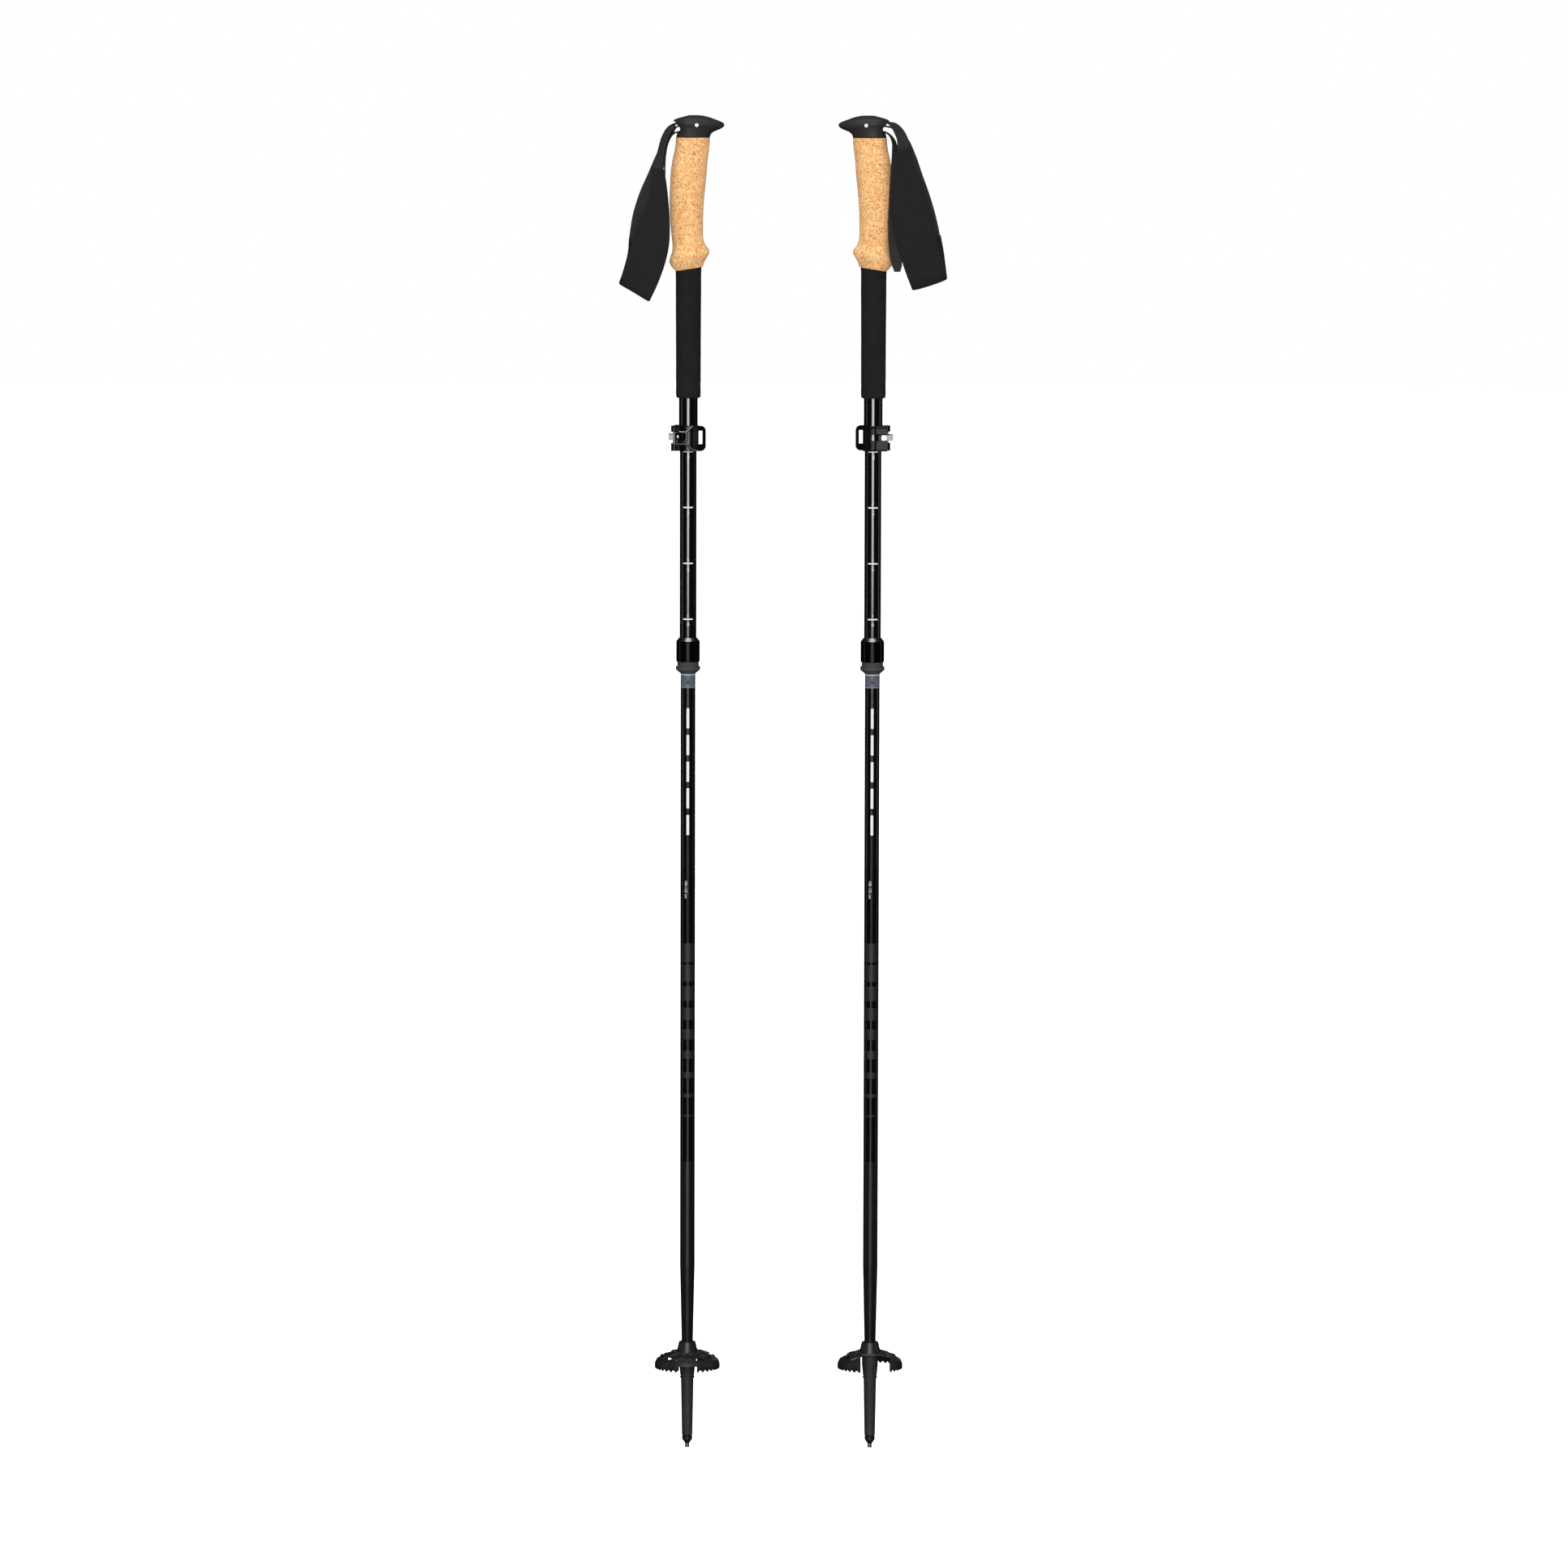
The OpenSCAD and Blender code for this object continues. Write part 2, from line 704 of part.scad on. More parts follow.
left() head();  // left_head
left() strap_pin();  // left_strap_pin
left() strap_anchor();  // left_strap_anchor
left() cork_grip();  // left_cork_grip
left() foam_sleeve();  // left_foam_sleeve
left() upper_shaft();  // left_upper_shaft
left() clamp_body();  // left_clamp_body
left() lever();  // left_lever
left() lever_pin();  // left_lever_pin
left() tension_link();  // left_tension_link
left() tension_screw();  // left_tension_screw
left() scale_shaft();  // left_scale_shaft
left() cord_cap();  // left_cord_cap
left() coupler_ring();  // left_coupler_ring
left() coupler_body();  // left_coupler_body
left() lock_ring();  // left_lock_ring
left() collar_spring();  // left_collar_spring
left() slide_collar();  // left_slide_collar
left() fold_shaft();  // left_fold_shaft
left() ferrule(middle_top);  // left_ferrule_1
left() middle_shaft();  // left_middle_shaft
left() ferrule(lower_top);  // left_ferrule_2
left() lower_shaft();  // left_lower_shaft
left() tension_cord();  // left_tension_cord
left() basket();  // left_basket
left() tip_holder();  // left_tip_holder
left() tip_seat();  // left_tip_seat
left() hard_tip();  // left_hard_tip
left() strap_webbing(1);  // left_strap_webbing
left() strap_pad();  // left_strap_pad
right() head();  // right_head
right() strap_pin();  // right_strap_pin
right() strap_anchor();  // right_strap_anchor
right() cork_grip();  // right_cork_grip
right() foam_sleeve();  // right_foam_sleeve
right() upper_shaft();  // right_upper_shaft
right() clamp_body();  // right_clamp_body
right() lever();  // right_lever
right() lever_pin();  // right_lever_pin
right() tension_link();  // right_tension_link
right() tension_screw();  // right_tension_screw
right() scale_shaft();  // right_scale_shaft
right() cord_cap();  // right_cord_cap
right() coupler_ring();  // right_coupler_ring
right() coupler_body();  // right_coupler_body
right() lock_ring();  // right_lock_ring
right() collar_spring();  // right_collar_spring
right() slide_collar();  // right_slide_collar
right() fold_shaft();  // right_fold_shaft
right() ferrule(middle_top);  // right_ferrule_1
right() middle_shaft();  // right_middle_shaft
right() ferrule(lower_top);  // right_ferrule_2
right() lower_shaft();  // right_lower_shaft
right() tension_cord();  // right_tension_cord
right() basket();  // right_basket
right() tip_holder();  // right_tip_holder
right() tip_seat();  // right_tip_seat
right() hard_tip();  // right_hard_tip
right_hand() strap_webbing(-1);  // right_strap_webbing
right_hand() strap_pad();  // right_strap_pad
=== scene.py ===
# %% [markdown]
# # A pair of folding trekking poles
# The poles stand side by side on their tips. Each one has a rubber head, a cork grip with a foam
# sleeve under it, a padded wrist strap, a lever lock, a slide collar, three folding tube sections and
# a snow basket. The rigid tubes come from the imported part. This script gives every piece its finish,
# and rebuilds the shapes that a solid modeller draws too plainly: the moulded head, the cork, the
# foam, the cast lock, the basket and the woven straps.

import json
import math

import bmesh
import bpy
import numpy as np
from mathutils import Matrix, Vector, noise


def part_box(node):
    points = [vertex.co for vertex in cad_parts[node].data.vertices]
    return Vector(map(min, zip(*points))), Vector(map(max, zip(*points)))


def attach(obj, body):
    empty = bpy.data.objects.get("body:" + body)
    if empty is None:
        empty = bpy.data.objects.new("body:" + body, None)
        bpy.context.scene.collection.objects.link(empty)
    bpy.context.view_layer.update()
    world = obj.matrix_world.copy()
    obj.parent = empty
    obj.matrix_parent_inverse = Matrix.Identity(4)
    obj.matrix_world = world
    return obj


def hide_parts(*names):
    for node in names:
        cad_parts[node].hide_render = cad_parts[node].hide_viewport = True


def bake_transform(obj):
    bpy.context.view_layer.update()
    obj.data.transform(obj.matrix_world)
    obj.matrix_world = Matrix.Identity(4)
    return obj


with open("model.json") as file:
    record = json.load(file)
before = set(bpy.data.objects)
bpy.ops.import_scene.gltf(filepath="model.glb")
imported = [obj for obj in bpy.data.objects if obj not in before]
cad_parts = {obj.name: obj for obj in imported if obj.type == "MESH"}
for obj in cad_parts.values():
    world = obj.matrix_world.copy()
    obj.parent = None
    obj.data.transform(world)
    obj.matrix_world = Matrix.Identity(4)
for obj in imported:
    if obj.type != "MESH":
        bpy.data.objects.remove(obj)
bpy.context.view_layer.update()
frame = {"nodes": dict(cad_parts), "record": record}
MM = 0.001
SIDES = ("left", "right")
slot_of = {p["node"]: p["material_slot"] for p in frame["record"]["subparts"]}

# %% [markdown]
# ## Places
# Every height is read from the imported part, in millimetres, so the new pieces sit exactly on the
# tubes. The left grip's beak points to +X, and the right pole is the left one turned half a turn.

# %% Read the levels and the pole axes
def level(node, top=False):
    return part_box("left_" + node)[1 if top else 0].z / MM


def middle_x(side):
    low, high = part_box(side + "_middle_shaft")
    return (low.x + high.x) / 2


def radius(node):
    low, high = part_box("left_" + node)
    return (high.y - low.y) / 2 / MM


POLE_X = {side: middle_x(side) for side in SIDES}
HEAD_Z = level("cork_grip", top=True)
CORK_Z = level("cork_grip")
FOAM_Z = level("foam_sleeve")
LOCK_Z = level("clamp_body")
print("pole axes:", POLE_X, "head", round(HEAD_Z, 1), "cork", round(CORK_Z, 1), "foam", round(FOAM_Z, 1))

# %% [markdown]
# ## Short ways to write materials
# A node material is easier to read as arithmetic. `Wire` wraps one output socket, and its operators
# add Math nodes, so `1 - mask` is a Subtract node. `Finish` owns one material and adds any other node
# from its type, its settings and what goes into its sockets.

# %% Wires and finishes
class Wire:
    """One output socket of a node tree, with arithmetic."""

    def __init__(self, finish, socket):
        self.finish, self.socket = finish, socket

    def math(self, operation, a, b=0.0):
        return self.finish.node("Math", {"operation": operation}, {0: a, 1: b})

    def __add__(self, other):
        return self.math("ADD", self, other)

    __radd__ = __add__

    def __sub__(self, other):
        return self.math("SUBTRACT", self, other)

    def __rsub__(self, other):
        return self.math("SUBTRACT", other, self)

    def __mul__(self, other):
        return self.math("MULTIPLY", self, other)

    __rmul__ = __mul__

    def __truediv__(self, other):
        return self.math("DIVIDE", self, other)

    def __lt__(self, other):
        return self.math("LESS_THAN", self, other)

    def __gt__(self, other):
        return self.math("GREATER_THAN", self, other)

    def wave(self):
        return self.math("SINE", self)

    def fade(self, low, high):
        """0 below low, 1 above high and smooth between them."""
        settings = {"interpolation_type": "SMOOTHSTEP"}
        return self.finish.node("MapRange", settings, {"Value": self, "From Min": low, "From Max": high})


class Finish:
    """One material on a Principled shader, made of nodes."""

    def __init__(self, name, **constants):
        self.material = bpy.data.materials.new(name)
        self.material.use_nodes = True
        self.tree = self.material.node_tree
        self.shader = self.tree.nodes["Principled BSDF"]
        for socket, value in constants.items():
            self.feed(socket.replace("_", " "), value)
        self.place = self.node("TexCoord", out="Object")

    def feed(self, socket, value):
        self.join(self.shader.inputs[socket], value)

    def join(self, socket, value):
        if isinstance(value, Wire):
            self.tree.links.new(value.socket, socket)
        elif hasattr(value, "__len__") and len(value) == 3 and socket.type == "RGBA":
            socket.default_value = (*value, 1)
        else:
            socket.default_value = value

    def node(self, kind, settings=None, inputs=None, out=0):
        made = self.tree.nodes.new("ShaderNode" + kind)
        for key, value in (settings or {}).items():
            setattr(made, key, value)
        for key, value in (inputs or {}).items():
            self.join(made.inputs[key], value)
        return Wire(self, made.outputs[out])

    def cloud(self, scale, detail=2.0, vector=None):
        """Smooth noise, with features about 1 / scale metres across."""
        return self.node("TexNoise", {}, {"Vector": vector or self.place, "Scale": scale, "Detail": detail})

    def cells(self, scale, out="Color", feature="F1"):
        return self.node("TexVoronoi", {"feature": feature}, {"Vector": self.place, "Scale": scale}, out=out)

    def tint(self, amount, a, b):
        """Colour a where amount is 0 and colour b where it is 1."""
        made = self.tree.nodes.new("ShaderNodeMix")
        made.data_type = "RGBA"
        for index, value in ((0, amount), (6, a), (7, b)):
            self.join(made.inputs[index], value)
        return Wire(self, made.outputs[2])

    def height(self):
        """Height above the ground in metres."""
        return self.node("SeparateXYZ", {}, {0: self.place}, out="Z")

    def relief(self, height, depth):
        """Bump of that depth in metres."""
        self.feed("Normal", self.node("Bump", {}, {"Height": height, "Distance": depth, "Strength": 1.0}))


def grey(value, warm=0.0):
    return (value * (1 + warm), value, value * (1 - warm))


finishes = {}
print("shader helpers ready")

# %% [markdown]
# ## Painted tubes
# The tubes are aluminium with a smooth black paint. On the real poles the paint is glossy, so the
# finish needs a low roughness and very little colour of its own. Two things keep it from looking like
# a computer's black: a faint unevenness in the paint and slow changes in its gloss from handling.

# %% Gloss black tube
def painted(name, shade, rough, patchy=0.05, coat=0.0):
    paint = Finish(name, Coat_Weight=coat, Coat_Roughness=0.09)
    smudge = paint.cloud(90, 4)
    paint.feed("Base Color", paint.tint(smudge, grey(shade * 0.8), grey(shade * 1.25)))
    paint.feed("Roughness", rough + patchy * (smudge - 0.5) + 0.03 * paint.cloud(900, 2))
    paint.relief(paint.cloud(1400, 2), 0.000006)
    return paint


finishes["gloss_tube"] = painted("gloss_tube", 0.0016, 0.15, coat=0.8).material
print("gloss paint:", len(finishes["gloss_tube"].node_tree.nodes), "nodes")

# %% [markdown]
# The middle section carries a pattern of matte bands on the gloss. They start just under the upper
# joint's text and get shorter downwards while their spacing stays the same. A repeating pattern like
# this is best made from the height itself: the height is divided by the spacing, and the fraction
# that is left says where in its repeat a point lies.

# %% Banded tube
BAND_TOP = 0.4592
BAND_PITCH = 0.01945
BAND_COUNT = 9
BAND_FIRST = 0.0170
BAND_SHRINK = 0.00194

banded = Finish("banded_tube")
smudge = banded.cloud(90, 4)
below = BAND_TOP - banded.height()
order = banded.node("Math", {"operation": "FLOOR"}, {0: below / BAND_PITCH})
within = below - order * BAND_PITCH
matte = (within < BAND_FIRST - BAND_SHRINK * order) * (below > 0.0) * (order < BAND_COUNT - 0.5)
grain = banded.cloud(2500, 2)
banded.feed("Base Color", banded.tint(matte, grey(0.0016), banded.tint(grain, grey(0.0065), grey(0.0095))))
banded.feed("Roughness", 0.17 + 0.05 * (smudge - 0.5) + matte * 0.36)
banded.relief(grain * matte, 0.00002)
finishes["banded_tube"] = banded.material
print("bands:", BAND_COUNT, "from", BAND_TOP, "m down, one every", BAND_PITCH, "m")

# %% [markdown]
# The lower section is the one that meets rocks and ice, so its paint is a softer satin black with
# fine rubbed marks. The marks are noise stretched along the tube by scaling its coordinates.

# %% Satin tube
def streaked(finish, across, along):
    """Noise drawn out along the pole."""
    stretched = finish.node("Mapping", {}, {"Vector": finish.place, "Scale": (across, across, along)})
    return finish.cloud(1.0, 3, stretched)


satin = Finish("satin_tube")
rub = streaked(satin, 1500, 90)
satin.feed("Base Color", satin.tint(rub, grey(0.0025), grey(0.007)))
satin.feed("Roughness", 0.24 + 0.12 * satin.cloud(60, 3) + 0.1 * (rub > 0.66))
satin.relief(rub, 0.000008)
finishes["satin_tube"] = satin.material
print("satin paint ready")

# %% [markdown]
# ## Cork
# Grip cork is made of ground granules pressed together, so it has three scales: granules of two or
# three millimetres with slightly different colours, pores and dark bark flecks between them, and slow
# patches where hands have rubbed it. Voronoi cells give the granules, because each cell can have its
# own random colour. The bumps are shallow, since the real grip is sanded.

# %% Cork finish
GRANULES = 470
FINE_GRANULES = 1150
cork = Finish("cork", Roughness=0.86, Sheen_Weight=0.15)
granule = cork.node("SeparateColor", {}, {0: cork.cells(GRANULES)}, out=0)
fine = cork.node("SeparateColor", {}, {0: cork.cells(FINE_GRANULES)}, out=0)
patch = cork.cloud(75, 3)
tone = cork.tint(granule, (0.88, 0.385, 0.115), (0.97, 0.60, 0.25))
tone = cork.tint(fine * 0.5, tone, (0.96, 0.68, 0.34))
tone = cork.tint(patch.fade(0.42, 0.72) * 0.35, tone, (0.80, 0.33, 0.085))
seam = cork.cells(GRANULES, "Distance", "DISTANCE_TO_EDGE")
dark_seam = (1 - seam.fade(0.0, 0.10)) * cork.cloud(350, 2).fade(0.42, 0.56)
tone = cork.tint(dark_seam * 0.9, tone, (0.44, 0.155, 0.04))
fleck = cork.cloud(700, 2).fade(0.63, 0.69)
tone = cork.tint(fleck * 0.9, tone, (0.17, 0.055, 0.018))
pore = cork.cloud(1050, 1).fade(0.67, 0.72)
tone = cork.tint(pore, tone, (0.06, 0.025, 0.01))
cork.feed("Base Color", tone)
cork.relief(seam.fade(0.0, 0.12) * 0.4 + fine * 0.25 - pore - fleck * 0.6, 0.00018)
finishes["cork"] = cork.material
print("cork:", len(cork.tree.nodes), "nodes")

# %% [markdown]
# ## Foam and moulded rubber
# The sleeve under the cork is closed-cell foam: matte, very dark and pitted all over with cells a
# third of a millimetre wide. The head is moulded rubber with a fine spark texture, so it has a soft
# sheen instead of a highlight.

# %% Foam and rubber finishes
foam = Finish("foam", Roughness=0.93, Specular_IOR_Level=0.12)
cell = foam.cells(2600, "Distance")
foam.feed("Base Color", foam.tint(foam.cloud(140, 4), grey(0.0085, 0.09), grey(0.0165, 0.09)))
foam.relief(cell + 0.5 * foam.cloud(700, 3), 0.00014)
finishes["foam"] = foam.material

rubber = Finish("grip_rubber", Specular_IOR_Level=0.3)
spark = rubber.cloud(3200, 2)
rubber.feed("Base Color", rubber.tint(rubber.cloud(60, 3), grey(0.016, 0.05), grey(0.026, 0.05)))
rubber.feed("Roughness", 0.46 + 0.12 * spark + 0.08 * rubber.cloud(45, 3))
rubber.relief(spark, 0.00003)
finishes["grip_rubber"] = rubber.material
print("foam and rubber ready")

# %% [markdown]
# ## Moulded plastics
# The lock, the coupler, the collar, the basket and the tip are all dark plastics, told apart mostly by
# how they shine. One recipe with different numbers makes them: a shade, a roughness, how coarse the
# mould's texture is, how deep, and how strongly it mirrors. The lever also reads a value stored on its
# mesh, which is 1 on the crests of its ridges. There its black is painted light grey, a painted
# highlight for the light that the crests catch.

# %% Moulded plastic finishes
def moulded(name, shade, rough, texture, depth, shine=0.5, tone_change=0.25):
    plastic = Finish(name, Specular_IOR_Level=shine)
    skin = plastic.cloud(texture, 3)
    wear_and_crest_highlight = plastic.cloud(130, 4)
    low, high = grey(shade * (1 - tone_change)), grey(shade * (1 + tone_change))
    plastic.feed("Base Color", plastic.tint(wear_and_crest_highlight, low, high))
    plastic.feed("Roughness", rough + 0.10 * (wear_and_crest_highlight - 0.5) + 0.06 * (skin - 0.5))
    plastic.relief(skin, depth)
    return plastic


PLASTICS = {
    # name: shade, roughness, texture scale, texture depth, shine
    "clamp_plastic": (0.0035, 0.30, 1800, 0.00001, 0.16),
    "gloss_black": (0.0010, 0.16, 1200, 0.000004, 0.16),
    "inner_plastic": (0.03, 0.5, 1500, 0.00002, 0.5),
    "basket_plastic": (0.0110, 0.40, 1500, 0.00001, 0.45),
    "seat_plastic": (0.008, 0.34, 1800, 0.00002, 0.5),
}
for name, numbers in PLASTICS.items():
    finishes[name] = moulded(name, *numbers).material
lever_finish = moulded("lock_plastic", 0.0018, 0.20, 1800, 0.000006, 0.3)
# Painted highlight: where the stored value is 1, on the ridge crests, the lever's black is painted light
# grey.
crest_highlight_mask = lever_finish.node("Attribute", {"attribute_name": "wear_and_crest_highlight"}, out="Fac")
lever_finish.feed("Base Color", lever_finish.tint(crest_highlight_mask, grey(0.0018), grey(0.34)))
finishes["lock_plastic"] = lever_finish.material
print("plastics:", ", ".join(PLASTICS))

# %% [markdown]
# Two plastics need more. The slide collar is knurled by a coarse mould texture, so that a gloved hand
# can lift it. The tip holder is a matte grey that gravel has scratched, mostly near the ground.

# %% Collar and tip finishes
collar = Finish("collar_plastic")
grit = collar.cells(1500, "Distance")
collar.feed("Base Color", collar.tint(collar.cloud(1800, 2), grey(0.014), grey(0.075)))
collar.feed("Roughness", 0.55 + 0.2 * collar.cloud(900, 2))
collar.relief(grit, 0.0003)
finishes["collar_plastic"] = collar.material

tip = Finish("tip_plastic")
scratch = streaked(tip, 2200, 160)
near_ground = 1 - tip.height().fade(0.012, 0.07)
tone = tip.tint(tip.cloud(200, 4), grey(0.012, 0.02), grey(0.019, 0.02))
tip.feed("Base Color", tip.tint((scratch > 0.64) * (0.25 + 0.5 * near_ground), tone, grey(0.075)))
tip.feed("Roughness", 0.58 + 0.12 * tip.cloud(700, 2))
tip.relief(tip.cloud(1800, 2) - 0.5 * scratch, 0.00003)
finishes["tip_plastic"] = tip.material
print("collar and tip ready")

# %% [markdown]
# ## Metals
# A metal's colour is its reflection, so Metallic is 1 and the interest is in the roughness. Turned
# parts get rings round the pole, cast parts a soft mottle, and the hard tip a brown, worn carbide.

# %% Metal finishes
def metal(name, shade, rough, mottle, depth, turned=0.0, warm=0.0):
    made = Finish(name, Metallic=1.0)
    cast = made.cloud(mottle, 4)
    rings = (made.height() * 9000).wave() * turned
    made.feed("Base Color", made.tint(cast, grey(shade * 0.82, warm), grey(min(1, shade * 1.1), warm)))
    made.feed("Roughness", rough + 0.16 * (cast - 0.5) + 0.05 * rings)
    made.relief(cast + rings, depth)
    return made.material


METALS = {
    # name: shade, roughness, mottle scale, relief depth, turned rings, warmth
    "bright_steel": (0.24, 0.27, 600, 0.00001, 0.0, 0.0),
    "cast_steel": (0.15, 0.36, 900, 0.00006, 0.0, 0.05),
    "bright_ring": (0.22, 0.30, 300, 0.00001, 0.6, 0.0),
    "ferrule_metal": (0.60, 0.30, 400, 0.00001, 0.4, 0.0),
    "carbide": (0.34, 0.42, 700, 0.00008, 0.0, 0.22),
}
for name, numbers in METALS.items():
    finishes[name] = metal(name, *numbers)
print("metals:", ", ".join(METALS))

# %% [markdown]
# ## Woven straps
# The straps are two fabrics. The webbing's crosswise ribs are real geometry further down, and its
# finish adds the fine lengthwise yarns. The pad is a twill whose ribs run on a slant. In both finishes
# the colour follows a rib pattern's height, as painted shade in the valleys and lighter crests. Both
# patterns follow the strip and not the room, so they use a flat map called `run`, which is written
# when the strips are made: metres across and metres along.

# %% Fabric finishes
YARNS_PER_RIB = 2.6


def fabric(name, shade, rib_pitch, slant, depth, light):
    cloth = Finish(name, Roughness=0.85, Specular_IOR_Level=0.15)
    run = cloth.node("UVMap", {"uv_map": "run"}, out="UV")
    u = cloth.node("SeparateXYZ", {}, {0: run}, out="X")
    v = cloth.node("SeparateXYZ", {}, {0: run}, out="Y")
    turn = 2 * math.pi / rib_pitch
    rib = (u * (turn * math.cos(slant)) + v * (turn * math.sin(slant))).wave()
    fine = turn * YARNS_PER_RIB
    yarn = (u * (-fine * math.sin(slant)) + v * (fine * math.cos(slant))).wave()
    fuzz = cloth.cloud(2600, 3)
    lift = 0.5 + 0.5 * rib
    # Painted shade and light: the colour darkens into the valleys between the ribs and lightens on their
    # crests.
    tone = cloth.tint(lift * 0.8 + 0.2 * fuzz, grey(shade * 0.22, 0.03), grey(shade * light, 0.03))
    cloth.feed("Base Color", cloth.tint(cloth.cloud(110, 3) * 0.35, tone, grey(shade * 0.8, 0.03)))
    cloth.relief(lift + 0.22 * yarn + 0.25 * fuzz, depth)
    return cloth.material


finishes["webbing"] = fabric("webbing", 0.027, 0.00055, 0.0, 0.00008, 1.9)
for name, slant in (("pad_fabric", -38), ("pad_fabric_mirror", 38)):
    finishes[name] = fabric(name, 0.0150, 0.00135, math.radians(slant), 0.0004, 2.5)
braid = Finish("cord", Roughness=0.8)
strand = (braid.height() * 5200).wave() + streaked(braid, 1800, 900)
braid.feed("Base Color", braid.tint(strand.fade(0.0, 1.4), (0.20, 0.015, 0.012), (0.42, 0.05, 0.03)))
braid.relief(strand, 0.0001)
finishes["cord"] = braid.material
print("fabrics ready")

# %% [markdown]
# ## Printed marks
# Printing on a pole is a thin opaque ink: white for the scale, grey-blue for the band that shows
# whether the collar has locked. A little noise in the ink's gloss keeps it from looking pasted on.

# %% Ink finishes
def ink(name, colour):
    made = Finish(name)
    dust = made.cloud(1600, 3)
    made.feed("Base Color", made.tint(dust.fade(0.45, 0.7) * 0.3, colour, tuple(c * 0.7 for c in colour)))
    made.feed("Roughness", 0.35 + 0.2 * dust)
    made.relief(dust, 0.00001)
    return made.material


INKS = {
    "white_ink": (0.72, 0.74, 0.76),
    "band_ink": (0.085, 0.105, 0.135),
    "dark_ink": (0.012, 0.013, 0.016),
    "silver_ink": (0.42, 0.44, 0.46),
}
for name, colour in INKS.items():
    finishes[name] = ink(name, colour)
print("inks:", ", ".join(INKS))

# %% [markdown]
# ## Strap pin
# The pin's two ends are small bright dots in the head. A point is bright when it lies close enough to
# the pin's axis, and the rest is dark.

# %% Strap pin
pin = Finish("pin_steel")
low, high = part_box("left_strap_pin")
PIN_OFF = (low.x + high.x) / 2
PIN_Z = (low.z + high.z) / 2 / MM
STEEL_R = 0.0016
from_middle = pin.node("SeparateXYZ", {}, {0: pin.place}, out="X")
side_step = pin.node("Math", {"operation": "ABSOLUTE"}, {0: from_middle}) + PIN_OFF
rise = pin.height() - PIN_Z * MM
bright = (side_step * side_step + rise * rise) < STEEL_R * STEEL_R
pin.feed("Base Color", pin.tint(bright, grey(0.012), pin.tint(pin.cloud(900), grey(0.62), grey(0.85))))
pin.feed("Roughness", 0.45 - 0.15 * bright)
pin.relief(pin.cloud(2400), 0.00001)
finishes["pin_steel"] = pin.material
print("pin steel within", STEEL_R, "m of its axis")

# %% [markdown]
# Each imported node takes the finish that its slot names, and the strap pin takes its own.

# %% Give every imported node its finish
for name, piece in frame["nodes"].items():
    piece.data.materials.clear()
    piece.data.materials.append(finishes["pin_steel" if name.endswith("strap_pin") else slot_of[name]])
    for face in piece.data.polygons:
        face.material_index = 0
print("finished", len(frame["nodes"]), "nodes")

# %% [markdown]
# ## Building meshes
# Most pieces here are smooth forms given by a few measured rows. `flow` draws a smooth line through
# the rows, `skin` makes a closed mesh from a stack of rings, and `put_on_both` sets a mesh made in
# the left pole's own millimetres on both poles, the right one turned half a turn.

# %% Mesh helpers
def flow(rows, step):
    """Rows every `step` along a smooth line through the given rows."""
    p = np.array(rows, float)
    t = np.concatenate([[0], np.cumsum(np.linalg.norm(np.diff(p, axis=0), axis=1))])
    slope = np.gradient(p, t, axis=0)
    at = np.linspace(0, t[-1], max(3, int(t[-1] / step) + 1))
    i = np.clip(np.searchsorted(t, at, side="right") - 1, 0, len(t) - 2)
    h = (t[i + 1] - t[i])[:, None]
    u = (at - t[i])[:, None] / h
    return (
        (2 * u**3 - 3 * u**2 + 1) * p[i]
        + (u**3 - 2 * u**2 + u) * h * slope[i]
        + (3 * u**2 - 2 * u**3) * p[i + 1]
        + (u**3 - u**2) * h * slope[i + 1]
    )


def mesh_of(name, points, faces):
    """A mesh from points in millimetres."""
    mesh = bpy.data.meshes.new(name)
    mesh.from_pydata([tuple(c * MM for c in p) for p in points], [], faces)
    mesh.update()
    return mesh


def from_sculpt(name, sculpt):
    """A mesh with the contents of a bmesh, which is freed."""
    mesh = bpy.data.meshes.new(name)
    sculpt.to_mesh(mesh)
    sculpt.free()
    return mesh


def skin(name, rings, closed=False):
    """A closed mesh from rings of points in millimetres. Its ends are capped unless it closes on itself."""
    count = len(rings[0])
    faces = []
    last = len(rings) if closed else len(rings) - 1
    for i in range(last):
        a, b = i * count, ((i + 1) % len(rings)) * count
        faces += [(a + j, a + (j + 1) % count, b + (j + 1) % count, b + j) for j in range(count)]
    if not closed:
        faces.append(tuple(range(count - 1, -1, -1)))
        faces.append(tuple((len(rings) - 1) * count + j for j in range(count)))
    return mesh_of(name, [p for ring in rings for p in ring], faces)


def new_piece(name, mesh, finish):
    piece = bpy.data.objects.new(name, mesh)
    bpy.context.scene.collection.objects.link(piece)
    mesh.materials.clear()
    mesh.materials.append(finishes[finish])
    for face in mesh.polygons:
        face.use_smooth = True
    return piece


def baked(piece):
    """The piece's mesh with its modifiers applied. The piece itself is removed."""
    bpy.context.view_layer.update()
    mesh = bpy.data.meshes.new_from_object(piece.evaluated_get(bpy.context.evaluated_depsgraph_get()))
    bpy.data.objects.remove(piece)
    return mesh


def turned(side):
    half = Matrix.Rotation(math.pi, 4, "Z") if side == "right" else Matrix.Identity(4)
    return Matrix.Translation((POLE_X[side], 0, 0)) @ half


def put_on_both(mesh, what, body, finish, stands_for=()):
    pieces = []
    for side in SIDES:
        copy = mesh.copy()
        copy.transform(turned(side))
        piece = new_piece(f"{side}_{what}", copy, finish)
        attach(piece, f"{side}_{body}")
        if stands_for:
            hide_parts(*[f"{side}_{node}" for node in stands_for])
        pieces.append(piece)
    print(what, "has", len(mesh.polygons), "faces")
    return pieces


